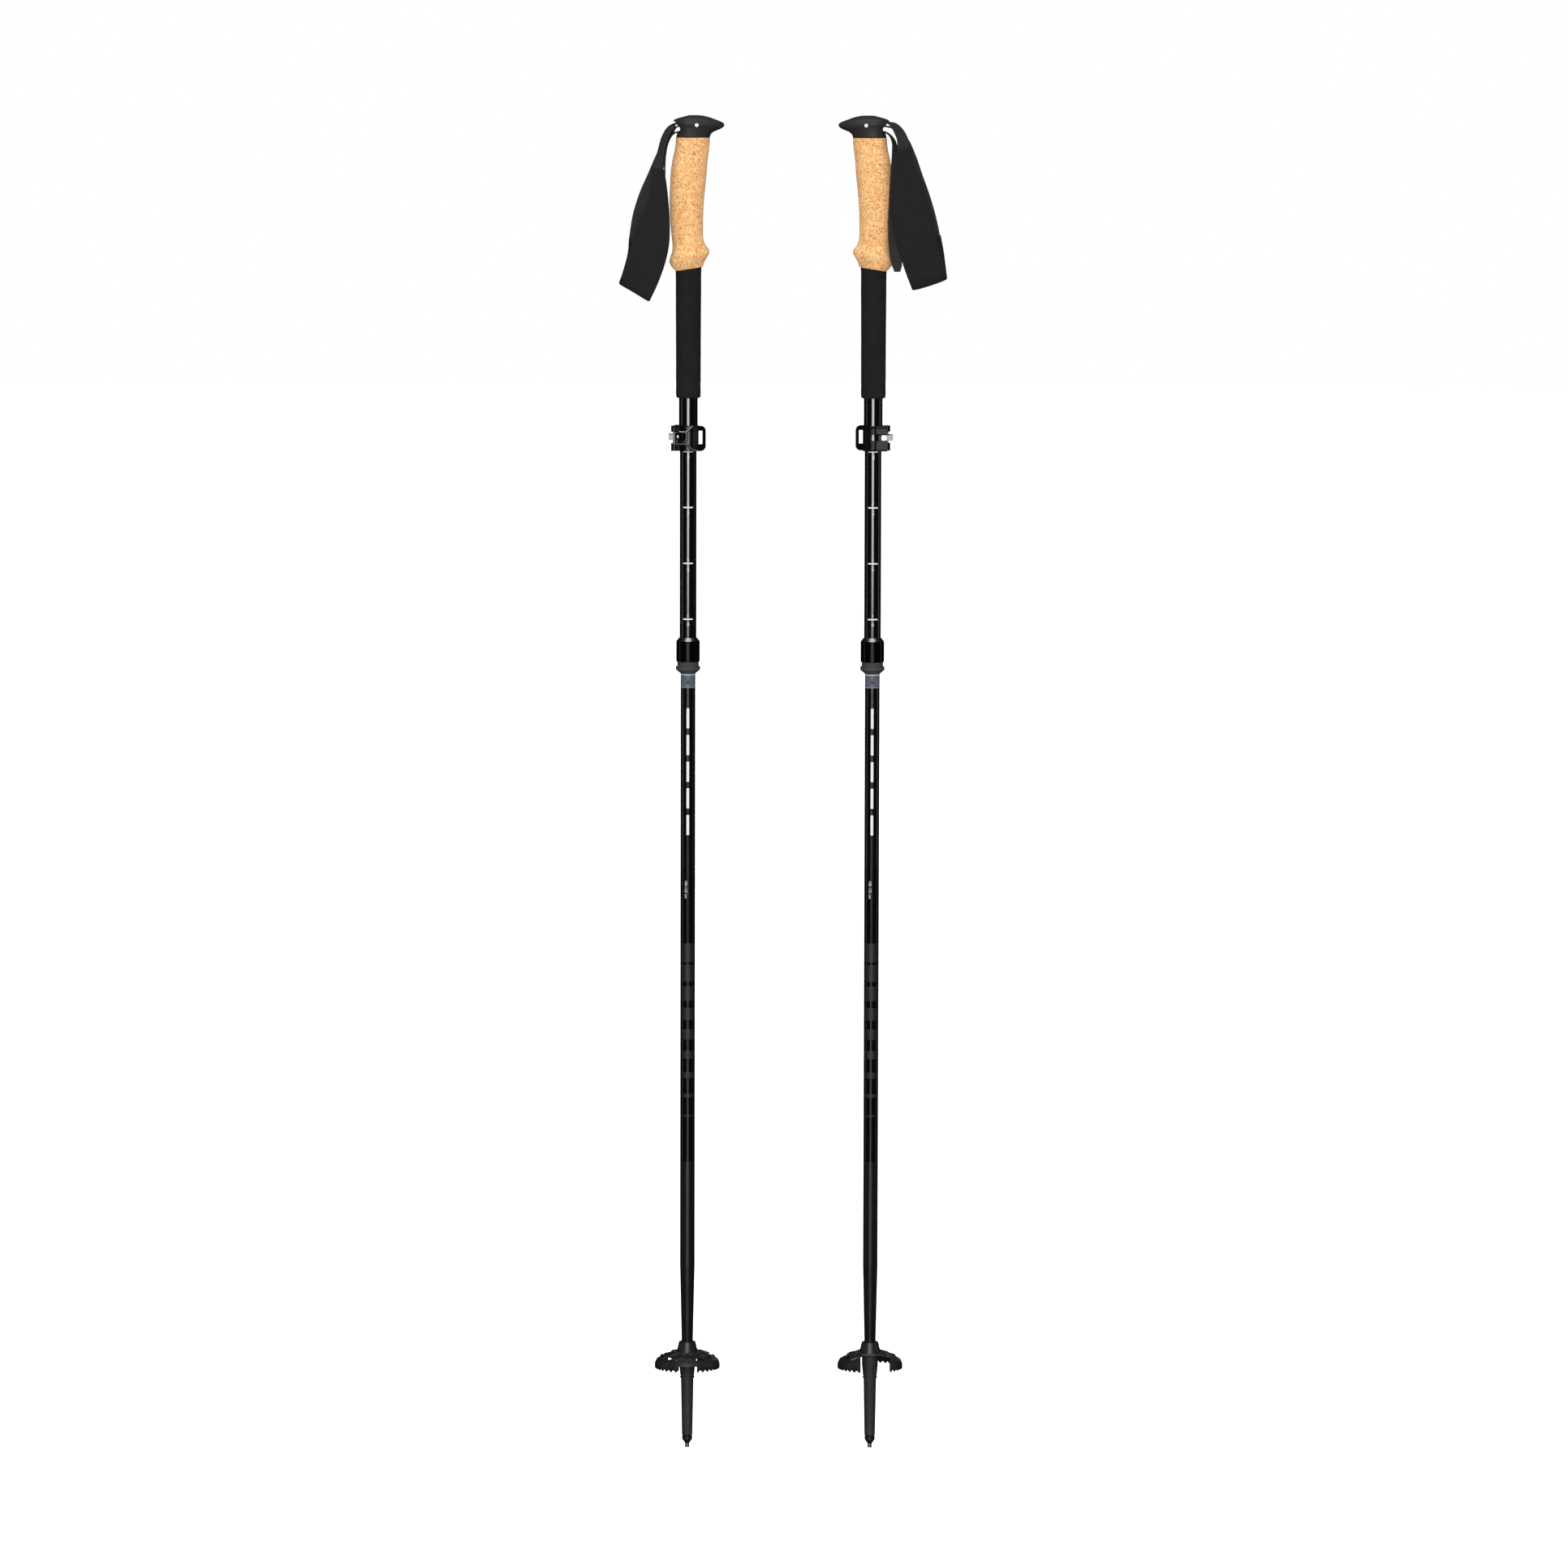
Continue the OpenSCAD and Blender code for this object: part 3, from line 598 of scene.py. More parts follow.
def oval(rear, front, half_width, z, count=96, taper=0.0, z_front=0.0, z_rear=0.0):
    """A ring that reaches rear behind the axis and front ahead of it, tilted or bent in height."""
    ring = []
    for j in range(count):
        a = 2 * math.pi * j / count
        c, s = math.cos(a), math.sin(a)
        ahead, behind = max(c, 0) ** 2, max(-c, 0) ** 2
        x = (front if c > 0 else rear) * c
        ring.append((x, half_width * s * (1 - taper * ahead), z + z_front * ahead + z_rear * behind))
    return ring


print("mesh helpers ready")

# %% [markdown]
# ## Rubber head
# The head is a flat mushroom with a beak. From the side its underside sweeps out of the neck, turns
# round a soft rim and closes over a low crown. One stack of rings follows that line: each row holds
# how far the head reaches behind and ahead of the pole, how wide it is, and the heights of its side,
# its beak and its rear. A pocket is cut behind for the strap, and a fine remesh rounds its edges.

# %% Head
HEAD_ROWS = [
    # rear, front, half width, side height above the cork, beak height, rear height
    (11, 18.8, 13.2, -0.2, -0.2, -0.2),
    (10.9, 19.1, 13.4, 1.2, 1.2, 1.2),
    (10.2, 20, 13.5, 3.6, 3.2, 3.6),
    (9.5, 22, 13.7, 6.3, 5, 6.4),
    (9.4, 25.2, 14, 8.6, 6.4, 8.8),
    (10.9, 29.2, 14.5, 10, 8.2, 10.7),
    (12.8, 31.2, 14.9, 11.2, 9.7, 12.1),
    (13.7, 31.8, 15.1, 12.9, 11.5, 13.9),
    (13.1, 30.8, 14.9, 14.5, 13.2, 15.4),
    (11.4, 27.2, 13.9, 16, 14.9, 16.5),
    (8.8, 22.4, 12, 17.4, 16.7, 17.4),
    (4.2, 17.6, 8.6, 18.9, 18.4, 18.7),
    (0, 12.5, 4.6, 19.7, 19.5, 19.6),
    (-5, 8.5, 1.2, 19.9, 19.9, 19.9),
]


def with_pocket(piece, low, high):
    """Cut a box out of a piece."""
    cutter = bmesh.new()
    bmesh.ops.create_cube(cutter, size=1)
    size = [(b - a) * MM for a, b in zip(low, high)]
    centre = [(a + b) / 2 * MM for a, b in zip(low, high)]
    bmesh.ops.transform(cutter, matrix=Matrix.Diagonal((*size, 1)), verts=cutter.verts)
    bmesh.ops.translate(cutter, vec=centre, verts=cutter.verts)
    mesh = bpy.data.meshes.new("cutter")
    cutter.to_mesh(mesh)
    tool = bpy.data.objects.new("cutter", mesh)
    bpy.context.scene.collection.objects.link(tool)
    cut = piece.modifiers.new("pocket", "BOOLEAN")
    cut.operation, cut.object, cut.solver = "DIFFERENCE", tool, "EXACT"
    mesh = baked(piece)
    bpy.data.objects.remove(tool)
    return mesh


def softened(mesh, voxel, rounds, name="soft"):
    """The mesh rebuilt in even faces of `voxel` millimetres, with its edges rounded."""
    piece = bpy.data.objects.new(name, mesh)
    bpy.context.scene.collection.objects.link(piece)
    even = piece.modifiers.new("even", "REMESH")
    even.mode, even.voxel_size = "VOXEL", voxel * MM
    soft = piece.modifiers.new("soft", "SMOOTH")
    soft.factor, soft.iterations = 0.5, rounds
    return baked(piece)


rings = [
    oval(rear, front, half, HEAD_Z + side_z, z_front=beak_z - side_z, z_rear=rear_z - side_z)
    for rear, front, half, side_z, beak_z, rear_z in flow(HEAD_ROWS, 0.8)
]
head = bpy.data.objects.new("head", skin("head", rings))
bpy.context.scene.collection.objects.link(head)
head_mesh = with_pocket(head, (-20, -7.6, PIN_Z - 5.2), (-2.5, 7.6, PIN_Z + 2.9))
head_mesh = softened(head_mesh, 0.45, 4)
put_on_both(head_mesh, "head_cap", "grip_section", "grip_rubber", ["head"])

# %% [markdown]
# ## Cork grip
# The cork is shaped for the hand: a shelf under the head, a palm swell behind, a waist, and a bump
# for the little finger. Its lower edge is cut on a slant, so the last rows are tilted.

# %% Cork
CORK_ROWS = [
    # height, reach behind, reach ahead
    (1180, 11.4, 19), (1177, 11.4, 18.9), (1170, 12.2, 18.2), (1160, 14.4, 17),
    (1150, 15.8, 16.2), (1138, 16.6, 15.1), (1126, 16.9, 13.9), (1112, 16.6, 13.1),
    (1100, 15.9, 12.9), (1090, 14.8, 13.3), (1084, 14.3, 15.2), (1079, 14.9, 18.3),
    (1075.5, 16.4, 18.4), (1071.5, 17.1, 16.6), (1067.5, 14.9, 14.2), (1065, 12.9, 13.3),
    (1063.6, 11.6, 12.9),
]
CORK_SLANT = 0.165
SLANT_FROM = 1090
SLANT_OVER = 22
CORK_WIDTH = 0.46  # half width as a share of the reach from rear to front
cork_rings = []
for z, rear, front in flow(CORK_ROWS, 0.8):
    lean = CORK_SLANT * max(0.0, min(1.0, (SLANT_FROM - z) / SLANT_OVER))
    ring = oval(rear, front, CORK_WIDTH * (rear + front), z)
    cork_rings.append([(x, y, z + lean * x) for x, y, z in ring])
tube_r = radius("upper_shaft") + 0.03
edge = [(0.97 * x, 0.97 * y, z - 0.35) for x, y, z in cork_rings[-1]]
bore = [oval(tube_r, tube_r, tube_r, z) for z in (CORK_Z + 3.0, HEAD_Z - 0.4)]
cork_mesh = skin("cork", cork_rings + [edge] + bore, closed=True)
for vertex in cork_mesh.vertices[: len(cork_rings) * len(edge)]:
    swell = noise.noise(vertex.co * 70) * 0.10 + noise.noise(vertex.co * 260) * 0.05
    vertex.co += Vector((vertex.co.x, vertex.co.y, 0)).normalized() * swell * MM
put_on_both(cork_mesh, "cork_handle", "grip_section", "cork", ["cork_grip"])

# %% [markdown]
# ## Foam sleeve
# The sleeve is cut from a tube, so it is a ring with soft edges. Its top is slanted like the cork
# that sits on it, and its bottom edge is rounded. The cork and the foam are hollow, so the scale
# shaft can slide up inside them.

# %% Foam
foam_r = radius("foam_sleeve")
foam_rows = [
    (tube_r + 0.02, FOAM_Z + 0.4), (foam_r - 2.2, FOAM_Z), (foam_r - 1.2, FOAM_Z + 0.2),
    (foam_r - 0.55, FOAM_Z + 0.9), (foam_r - 0.4, FOAM_Z + 2.0), (foam_r - 0.35, FOAM_Z + 12),
    (foam_r - 0.2, FOAM_Z + 60), (foam_r, CORK_Z - 3), (foam_r, CORK_Z - 0.3), (foam_r - 1.2, CORK_Z - 0.1),
]
foam_rings = []
for r, z in flow(foam_rows, 0.9):
    lean = CORK_SLANT * max(0.0, min(1.0, (z - CORK_Z + 8) / 8))
    ring = oval(r, r, r, z)
    foam_rings.append([(x, y, z + lean * x) for x, y, z in ring])
outside = len(foam_rings) * len(foam_rings[0])
last_r = foam_rows[-1][0]
foam_rings.append([(x * tube_r / last_r, y * tube_r / last_r, z) for x, y, z in foam_rings[-1]])
foam_mesh = skin("foam", foam_rings, closed=True)
for vertex in foam_mesh.vertices[len(foam_rings[0]) : outside]:
    vertex.co += Vector((vertex.co.x, vertex.co.y, 0)).normalized() * noise.noise(vertex.co * 120) * 0.08 * MM
for piece in put_on_both(foam_mesh, "foam_grip", "grip_section", "foam", ["foam_sleeve"]):
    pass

# %% [markdown]
# ## Lever lock
# The lock is a small moulded part: its edges are soft, and a few ridges run across the lever's front.
# The quickest way to that look is to sculpt the imported solid. A copy is remeshed very finely and
# smoothed, then its vertices are pushed out along their normals wherever they lie near a ridge's line.
# How far a point was pushed is stored on the mesh, so the crests can be painted light grey: a painted
# highlight for the light their edges catch.

# %% Sculpt helpers
def local_copy(node):
    """A copy of the left node's mesh, in the pole's own frame, with its split corners joined."""
    mesh = frame["nodes"]["left_" + node].data.copy()
    mesh.transform(Matrix.Translation((-POLE_X["left"], 0, 0)))
    joined = bmesh.new()
    joined.from_mesh(mesh)
    bmesh.ops.remove_doubles(joined, verts=joined.verts, dist=0.00001)
    joined.to_mesh(mesh)
    joined.free()
    return mesh


def near_line(p, a, b):
    """Distance from a point to a line between two points, all flat and in millimetres."""
    ax, az = a
    bx, bz = b
    dx, dz = bx - ax, bz - az
    t = max(0.0, min(1.0, ((p[0] - ax) * dx + (p[1] - az) * dz) / (dx * dx + dz * dz)))
    return math.hypot(p[0] - ax - t * dx, p[1] - az - t * dz)


def bump(distance, width):
    """1 on the line, 0 beyond the width and round between them."""
    t = max(0.0, 1 - distance / width)
    return t * t * (3 - 2 * t)


def push(mesh, amount):
    """Move every vertex along its normal by amount(point, normal) millimetres."""
    mesh.update()
    shifts = [amount(v.co / MM, v.normal) * MM * v.normal for v in mesh.vertices]
    for vertex, shift in zip(mesh.vertices, shifts):
        vertex.co += shift
    mesh.update()


RIDGES = [
    # points (x and height above the lock's foot), width, how far the ridge stands out
    ([(3.4, 22.2), (-0.7, 18.2), (-2.5, 17.3), (-7.5, 17.6)], 1.15, 0.75),
    ([(-2.5, 17.2), (-1.5, 15.2), (-1.3, 12.6), (-1.8, 9.8), (-3.6, 8.3), (-7.5, 8.2)], 1.05, 0.6),
    ([(-13.5, 6.3), (-2.5, 6.5), (0.2, 5), (3, 2.4), (5.2, 1.1), (8.4, 0.8)], 1, 0.6),
    ([(-13.5, 22.3), (-1, 22.3)], 0.9, 0.35),
]
LOOP_FROM = 6.5  # the finger loop bends forward from here on
LOOP_TILT = 0.32
FRONT_FROM = -4  # only the lever's front, which faces -Y, has ridges
HIGHLIGHT_FROM = 0.3  # a ridge this high starts to get the painted highlight
HIGHLIGHT_FULL = 0.7


def on_ridge(p, normal):
    """How far a ridge stands out at a point of the lever's front."""
    if p.y > FRONT_FROM or normal.y > -0.25:
        return 0.0
    flat = (p.x, p.z - LOCK_Z)
    found = 0.0
    for points, width, height in RIDGES:
        away = min(near_line(flat, a, b) for a, b in zip(points, points[1:]))
        found = max(found, height * bump(away, width))
    return found


lever_copy = local_copy("lever")
for vertex in lever_copy.vertices:
    vertex.co.y += LOOP_TILT * max(0.0, vertex.co.x - LOOP_FROM * MM)
lever_mesh = softened(lever_copy, 0.22, 3)
lever_mesh.update()
ridge_heights = [on_ridge(v.co / MM, v.normal) for v in lever_mesh.vertices]
push(lever_mesh, on_ridge)
# The stored value tells the lever's finish where to paint the light grey highlight on the crests.
wear_and_crest_highlight = lever_mesh.attributes.new("wear_and_crest_highlight", "FLOAT", "POINT")
wear_and_crest_highlight.data.foreach_set("value", [max(0.0, (r - HIGHLIGHT_FROM) / (HIGHLIGHT_FULL - HIGHLIGHT_FROM)) ** 2 for r in ridge_heights])
print("lock foot at", round(LOCK_Z, 1), "mm")
put_on_both(lever_mesh, "lock_lever", "lever", "lock_plastic", ["lever"])


LIP_PLACES = (1.0, 21.8)  # heights above the lock's foot
LIP_WIDTH = 1.4
LIP_HEIGHT = 0.35


def clamp_lips(p, normal):
    """A low lip round the clamp's back, near each end."""
    if p.y <= 0 or abs(normal.z) >= 0.5:
        return 0.0
    return LIP_HEIGHT * max(bump(abs(p.z - LOCK_Z - place), LIP_WIDTH) for place in LIP_PLACES)


clamp_mesh = softened(local_copy("clamp_body"), 0.25, 3)
push(clamp_mesh, clamp_lips)
put_on_both(clamp_mesh, "lock_clamp", "grip_section", "clamp_plastic", ["clamp_body"])

# %% [markdown]
# ## Snow basket
# The basket is one moulding: a glossy dome with slanted ribs between its holes and teeth round its
# rim. It is sculpted in the same way. The ribs follow the angle round the pole, twisted with the
# radius so that they sweep like the real ones.

# %% Basket
BASKET_R = radius("basket")
HUB_R = 11  # ribs run from here to RIM_W inside the rim
RIM_W = 3.5
RIB_COUNT = 9
RIB_TWIST = 2.6  # degrees for each millimetre outwards
RIB_START = 20
RIB_WIDTH = 1.7
RIB_HEIGHT = 1.2
RING_R = 13.2
RING_WIDTH = 1.6
RING_SHARE = 0.8
SINK = 0.15  # the dome between the ribs lies this much deeper


def basket_ribs(p, normal):
    """Twisted ribs and a ring on the dome's upper face."""
    r = math.hypot(p.x, p.y)
    if normal.z < 0.15 or r < HUB_R or r > BASKET_R - RIM_W:
        return 0.0
    angle = math.degrees(math.atan2(p.y, p.x)) + RIB_TWIST * (r - HUB_R)
    pitch = 360 / RIB_COUNT
    from_rib = abs((angle - RIB_START) % pitch - pitch / 2) / pitch * 2 * math.pi * r / RIB_COUNT
    ring = bump(abs(r - RING_R), RING_WIDTH)
    return RIB_HEIGHT * max(bump(from_rib, RIB_WIDTH), RING_SHARE * ring) - SINK


basket_mesh = softened(local_copy("basket"), 0.28, 2)
push(basket_mesh, basket_ribs)
put_on_both(basket_mesh, "snow_basket", "basket", "basket_plastic", ["basket"])

# %% [markdown]
# ## Strap strips
# A strap is a strip with two edges, so it is drawn by its edges: each row gives where its left and
# right edges are. `strip` runs a smooth line through the rows, and gives the strip a rounded section,
# a slight bow across, and ribs that are real ridges in the mesh. It also writes the flat map `run`.

# %% Strip maker
def strip(name, rows, thick, step, rib=0.0, rib_pitch=1.45, bow=0.0, across=14):
    """A strip through rows of (left x, y, z, right x, y, z), in millimetres."""
    line = flow(rows, step)
    middle = (line[:, :3] + line[:, 3:6]) / 2
    along = np.concatenate([[0], np.cumsum(np.linalg.norm(np.diff(middle, axis=0), axis=1))])
    ahead = np.gradient(middle, axis=0)
    rings, marks = [], []
    for i, row in enumerate(line):
        a, b = Vector(row[:3]), Vector(row[3:6])
        out = (b - a).cross(Vector(ahead[i])).normalized()
        width = (b - a).length
        ridge = rib * (0.5 + 0.5 * math.cos(2 * math.pi * along[i] / rib_pitch))
        end = min(1.0, along[i] / (0.6 * thick), (along[-1] - along[i]) / (0.6 * thick))
        ring, mark = [], []
        for side in (1, -1):
            for j in range(across):
                u = 0.5 - side * 0.5 * math.cos(math.pi * (j + 0.5) / across)
                round_off = (1 - abs(2 * u - 1) ** 6) ** 0.5
                up = side * (thick / 2 + ridge) * round_off * max(0.15, end) ** 0.5
                ring.append(a.lerp(b, u) + out * (up + bow * (1 - (2 * u - 1) ** 2)))
                mark.append((u * width * MM, along[i] * MM))
        rings.append(ring)
        marks.append(mark)
    mesh = skin(name, rings)
    layer = mesh.uv_layers.new(name="run")
    flat = [m for mark in marks for m in mark]
    for loop in mesh.loops:
        layer.data[loop.index].uv = flat[loop.vertex_index]
    return mesh


print("strip maker ready")

# %% [markdown]
# ## Wrist straps
# Each strap leaves the rear of the head as webbing, turns to face forward, and is sewn to a padded
# band that folds back at the bottom. The webbing then comes up behind, and its loose tail hangs
# beside the grip. A left and a right strap mirror each other, and hang a little differently.

# %% Left strap rows
STRAP_ROWS = {}
STRAP_ROWS["left"] = {
    # Each row: left edge x, y, height and right edge x, y, height, in the pole's own millimetres.
    "front": [
        (-4, 6.6, 1192.6, -4, -6.6, 1192.6), (-10.5, 6.6, 1192.8, -10.5, -6.6, 1192.8),
        (-15.4, 6, 1191.6, -13.2, -6.6, 1187.8), (-19.6, 4.6, 1188.4, -16.4, -7.8, 1183.2),
        (-23.4, 2.4, 1182, -19, -9, 1177), (-28, -1.6, 1166.6, -22, -10.6, 1165),
        (-30.6, -5.2, 1157.5, -22.6, -11.2, 1157), (-32.2, -7, 1150, -22.6, -11, 1149),
        (-33.2, -7.6, 1143, -21.4, -10.8, 1141.5),
    ],
    "back": [
        (-4, 6.6, 1189.6, -4, -6.4, 1189.6), (-10.5, 6.6, 1189.7, -10.5, -6.4, 1189.4),
        (-15, 7, 1188, -13, -5.6, 1184.9), (-19.4, 7.8, 1182.6, -16.4, -4.2, 1178.8),
        (-25.6, 8, 1171.6, -19.4, -2.4, 1169.6), (-31, 7.4, 1160.2, -21.2, -0.6, 1158.6),
        (-35.4, 6.6, 1150, -23, 1.4, 1149), (-44.1, 5.8, 1130, -31, 3.4, 1126),
        (-49.2, 5.4, 1114, -35.8, 3.8, 1111), (-52.4, 5.2, 1096, -38.8, 4.2, 1094),
        (-53.8, 5.2, 1083.5, -40, 4.4, 1082.5),
    ],
    "pad": [
        (-32.3, -8.2, 1153.6, -21.6, -11.6, 1151.8), (-32, -9, 1145, -19.9, -12.2, 1142.5),
        (-34, -10.2, 1128.5, -18, -12.6, 1127), (-41.4, -10.8, 1111.5, -16.4, -12.4, 1105),
        (-47.4, -10, 1095.5, -17, -11.4, 1086), (-53.6, -8.2, 1074, -21.4, -9.8, 1066),
        (-58.6, -6.2, 1060, -28.6, -7.4, 1047), (-61.4, -3.6, 1052.6, -33.6, -4.6, 1036.6),
        (-61.9, -0.4, 1050.8, -34.5, -1, 1034.6), (-61, 2.6, 1053.4, -33.6, 2.2, 1037),
        (-57.4, 4, 1065, -31, 3.8, 1050), (-54.2, 4.4, 1078, -33, 4.2, 1068),
        (-53.2, 3.6, 1091, -38, 2.8, 1086),
    ],
    "tail": [
        (-7.6, 3.2, 1185.2, -7.6, -3.8, 1184.8), (-12.6, 4.6, 1184.2, -12.4, -2.6, 1183.8),
        (-18, 7.8, 1177, -17.6, 0.2, 1177), (-20.8, 11, 1165, -20.4, 3.4, 1165),
        (-21.6, 13.4, 1145, -21.2, 6, 1145), (-22, 14.2, 1115, -21.2, 7, 1115),
        (-23.6, 14, 1088, -22.4, 7.4, 1088), (-26.6, 13.2, 1066, -25.2, 6.6, 1066),
    ],
}

# %% [markdown]
# The right strap's rows follow the same order. Its front strand is shorter.

# %% Right strap rows
STRAP_ROWS["right"] = {
    "front": [
        (4, -6.6, 1193.4, 4, 6.6, 1193.4), (11, -6.8, 1193.6, 11, 6.4, 1193.8),
        (15, -8.4, 1189.4, 18.4, 5, 1193.4), (18.2, -10.6, 1183.4, 25.2, 1.6, 1188.2),
        (20, -12.6, 1178, 30, -4.4, 1179.6), (20.4, -13.8, 1171, 31.6, -7.6, 1172.6),
        (20.2, -14.2, 1163, 32.6, -9, 1164.4),
    ],
    "back": [
        (4, -6.4, 1190, 4, 6.6, 1190), (11, -6.2, 1190, 11, 6.8, 1190.4),
        (17.8, -4.8, 1187.4, 20, 8.2, 1188.4), (23.4, -2.6, 1178.6, 29.4, 9.2, 1180.2),
        (26.4, 0.2, 1164.4, 36.6, 9, 1166), (30.6, 2.6, 1147, 42.8, 8.2, 1148.6),
        (37.4, 4, 1126, 50.4, 6.8, 1127.4), (42.6, 4.6, 1108, 55.6, 6, 1109.4),
        (45.8, 4.8, 1092, 59, 5.6, 1093.4), (47.6, 4.8, 1078, 61, 5.4, 1079.2),
    ],
    "pad": [
        (20, -14.8, 1169.4, 32.4, -9.6, 1172.2), (18, -15.4, 1161, 33.6, -9.6, 1161.8),
        (15.1, -15.8, 1151, 40.2, -8.6, 1145.8), (14.5, -15.6, 1132, 46.4, -8, 1128.4),
        (15.7, -14.4, 1110, 51.8, -7.2, 1108), (20.7, -12.2, 1085.5, 57.2, -6.2, 1085.5),
        (26.6, -9, 1065.4, 62.2, -4.8, 1068.4), (32.6, -5.4, 1049.4, 64.9, -3.4, 1058.4),
        (34.2, -1.4, 1045.4, 65.5, -0.6, 1055.6), (33.6, 2.4, 1047.8, 65.3, 2.6, 1057.6),
        (32.6, 4, 1058, 64, 4, 1068), (37, 4.2, 1073, 62, 4.4, 1082),
        (42.6, 3.2, 1086, 59.6, 4.4, 1094),
    ],
    "tail": [
        (7.8, -4.6, 1186, 7.8, 3.6, 1186), (12.4, -7, 1183.2, 12.6, 1.6, 1184.2),
        (15.5, -9.6, 1176.6, 18.6, -1.6, 1178), (15.6, -12, 1168, 21.2, -5.2, 1168),
        (14.7, -13, 1153, 22.2, -8, 1153), (13.3, -12.9, 1128, 21.2, -9.4, 1128),
        (12.4, -12.7, 1104, 20.6, -9.8, 1104), (12.9, -13.4, 1086, 21.2, -10.6, 1086),
        (16.2, -14, 1066.5, 24.8, -11.6, 1066.5), (18.2, -14, 1061.6, 23.4, -12.2, 1061.6),
    ],
}
print("strap rows:", {side: {k: len(v) for k, v in rows.items()} for side, rows in STRAP_ROWS.items()})

# %% [markdown]
# The webbing strips and the tail are joined into one woven piece per strap.

# %% Weave and place the straps
def joined(name, meshes):
    whole = bmesh.new()
    for mesh in meshes:
        whole.from_mesh(mesh)
    return from_sculpt(name, whole)


def on_pole(side, name, meshes, body, finish):
    """One piece on one pole, joined from meshes that are drawn round the pole's axis."""
    mesh = joined(name, meshes)
    mesh.transform(Matrix.Translation((POLE_X[side], 0, 0)))
    piece = new_piece(f"{side}_{name}", mesh, finish)
    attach(piece, f"{side}_{body}")
    return piece


WEBBING_T = 1.3
RIB_H = 0.26  # height of the webbing's crosswise ribs
PAD_T = 3.0
PAD_BOW = 0.5
OUTWARD = {"left": -1, "right": 1}

for side, sign in OUTWARD.items():
    rows = STRAP_ROWS[side]
    webbing = joined(f"{side}_webbing", [
        strip(part, rows[part], WEBBING_T - 0.3, 0.24, RIB_H) for part in ("front", "back", "tail")
    ])
    webbing.transform(Matrix.Translation((POLE_X[side], 0, 0)))
    piece = new_piece(f"{side}_webbing_weave", webbing, "webbing")
    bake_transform(piece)
    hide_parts(f"{side}_strap_webbing", f"{side}_strap_anchor")

    pad = strip("pad", rows["pad"], PAD_T - 0.4, 0.8, bow=-PAD_BOW * sign, across=20)
    pad.transform(Matrix.Translation((POLE_X[side], 0, 0)))
    piece = new_piece(f"{side}_wrist_pad", pad, "pad_fabric" if side == "left" else "pad_fabric_mirror")
    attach(piece, f"{side}_strap")
    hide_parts(f"{side}_strap_pad")
    print(side, "webbing faces:", len(webbing.polygons), "pad faces:", len(pad.polygons))

# %% [markdown]
# The padded band is sewn along both edges, on both faces. Each stitch is a short fat thread, built as
# a small bead that follows the band a little inside its edge.

# %% Stitches
def thread(points, length, thick):
    """Short beads along a line of points, each lying along the line."""
    beads = bmesh.new()
    for a, b in zip(points[:-1:2], points[1::2]):
        way = (b - a).normalized()
        turn = way.to_track_quat("X", "Z").to_matrix().to_4x4()
        size = Matrix.Diagonal((length * MM / 2, thick * MM / 2, thick * MM / 2, 1))
        place = Matrix.Translation((a + b) / 2 * MM) @ turn @ size
        bmesh.ops.create_icosphere(beads, subdivisions=1, radius=1, matrix=place)
    return from_sculpt("thread", beads)


def inside_edge(rows, share, lift, step):
    """Points along a strip, `share` of its width from the left edge and lifted off its face."""
    line = flow(rows, step)
    a, b = line[:, :3], line[:, 3:6]
    ahead = np.gradient((a + b) / 2, axis=0)
    out = np.cross(b - a, ahead)
    out /= np.linalg.norm(out, axis=1)[:, None]
    return [Vector(p) for p in a + (b - a) * share + out * lift]


SEAM_IN = 0.055  # from each edge, as a share of the pad's width
STITCH_STEP = 1.15
STITCH_LEN = 1.5
STITCH_W = 0.34
LIFT = PAD_T / 2 - 0.12

for side, sign in OUTWARD.items():
    seams = []
    for share in (SEAM_IN, 1 - SEAM_IN):
        for face in (1, -1):
            bowed = -PAD_BOW * sign * (1 - (2 * share - 1) ** 2)
            line = inside_edge(STRAP_ROWS[side]["pad"], share, face * LIFT + bowed, STITCH_STEP)
            seams.append(thread(line, STITCH_LEN, STITCH_W))
    piece = on_pole(side, "pad_stitches", seams, "strap", "webbing")
    print(side, "stitch faces:", len(piece.data.polygons))

# %% [markdown]
# ## Marks on the shafts
# The scale shaft has a tick and a number every 5 cm, so that both poles can be set alike. The fold
# shaft shows a grey-blue band with a padlock when the collar has locked. Marks are thin sheets
# bent round the tube. They stand out by less than the running clearance, so that the scale still
# slides into the tube above.

# %% Mark makers
def bent_patch(width, low, high, r, bits=16):
    """A rectangle bent round the front of a tube."""
    points, faces = [], []
    for i in range(bits + 1):
        a = (i / bits - 0.5) * width / r
        points += [(r * math.sin(a), -r * math.cos(a), low), (r * math.sin(a), -r * math.cos(a), high)]
    for i in range(bits):
        faces.append((2 * i, 2 * i + 2, 2 * i + 3, 2 * i + 1))
    return mesh_of("patch", points, faces)


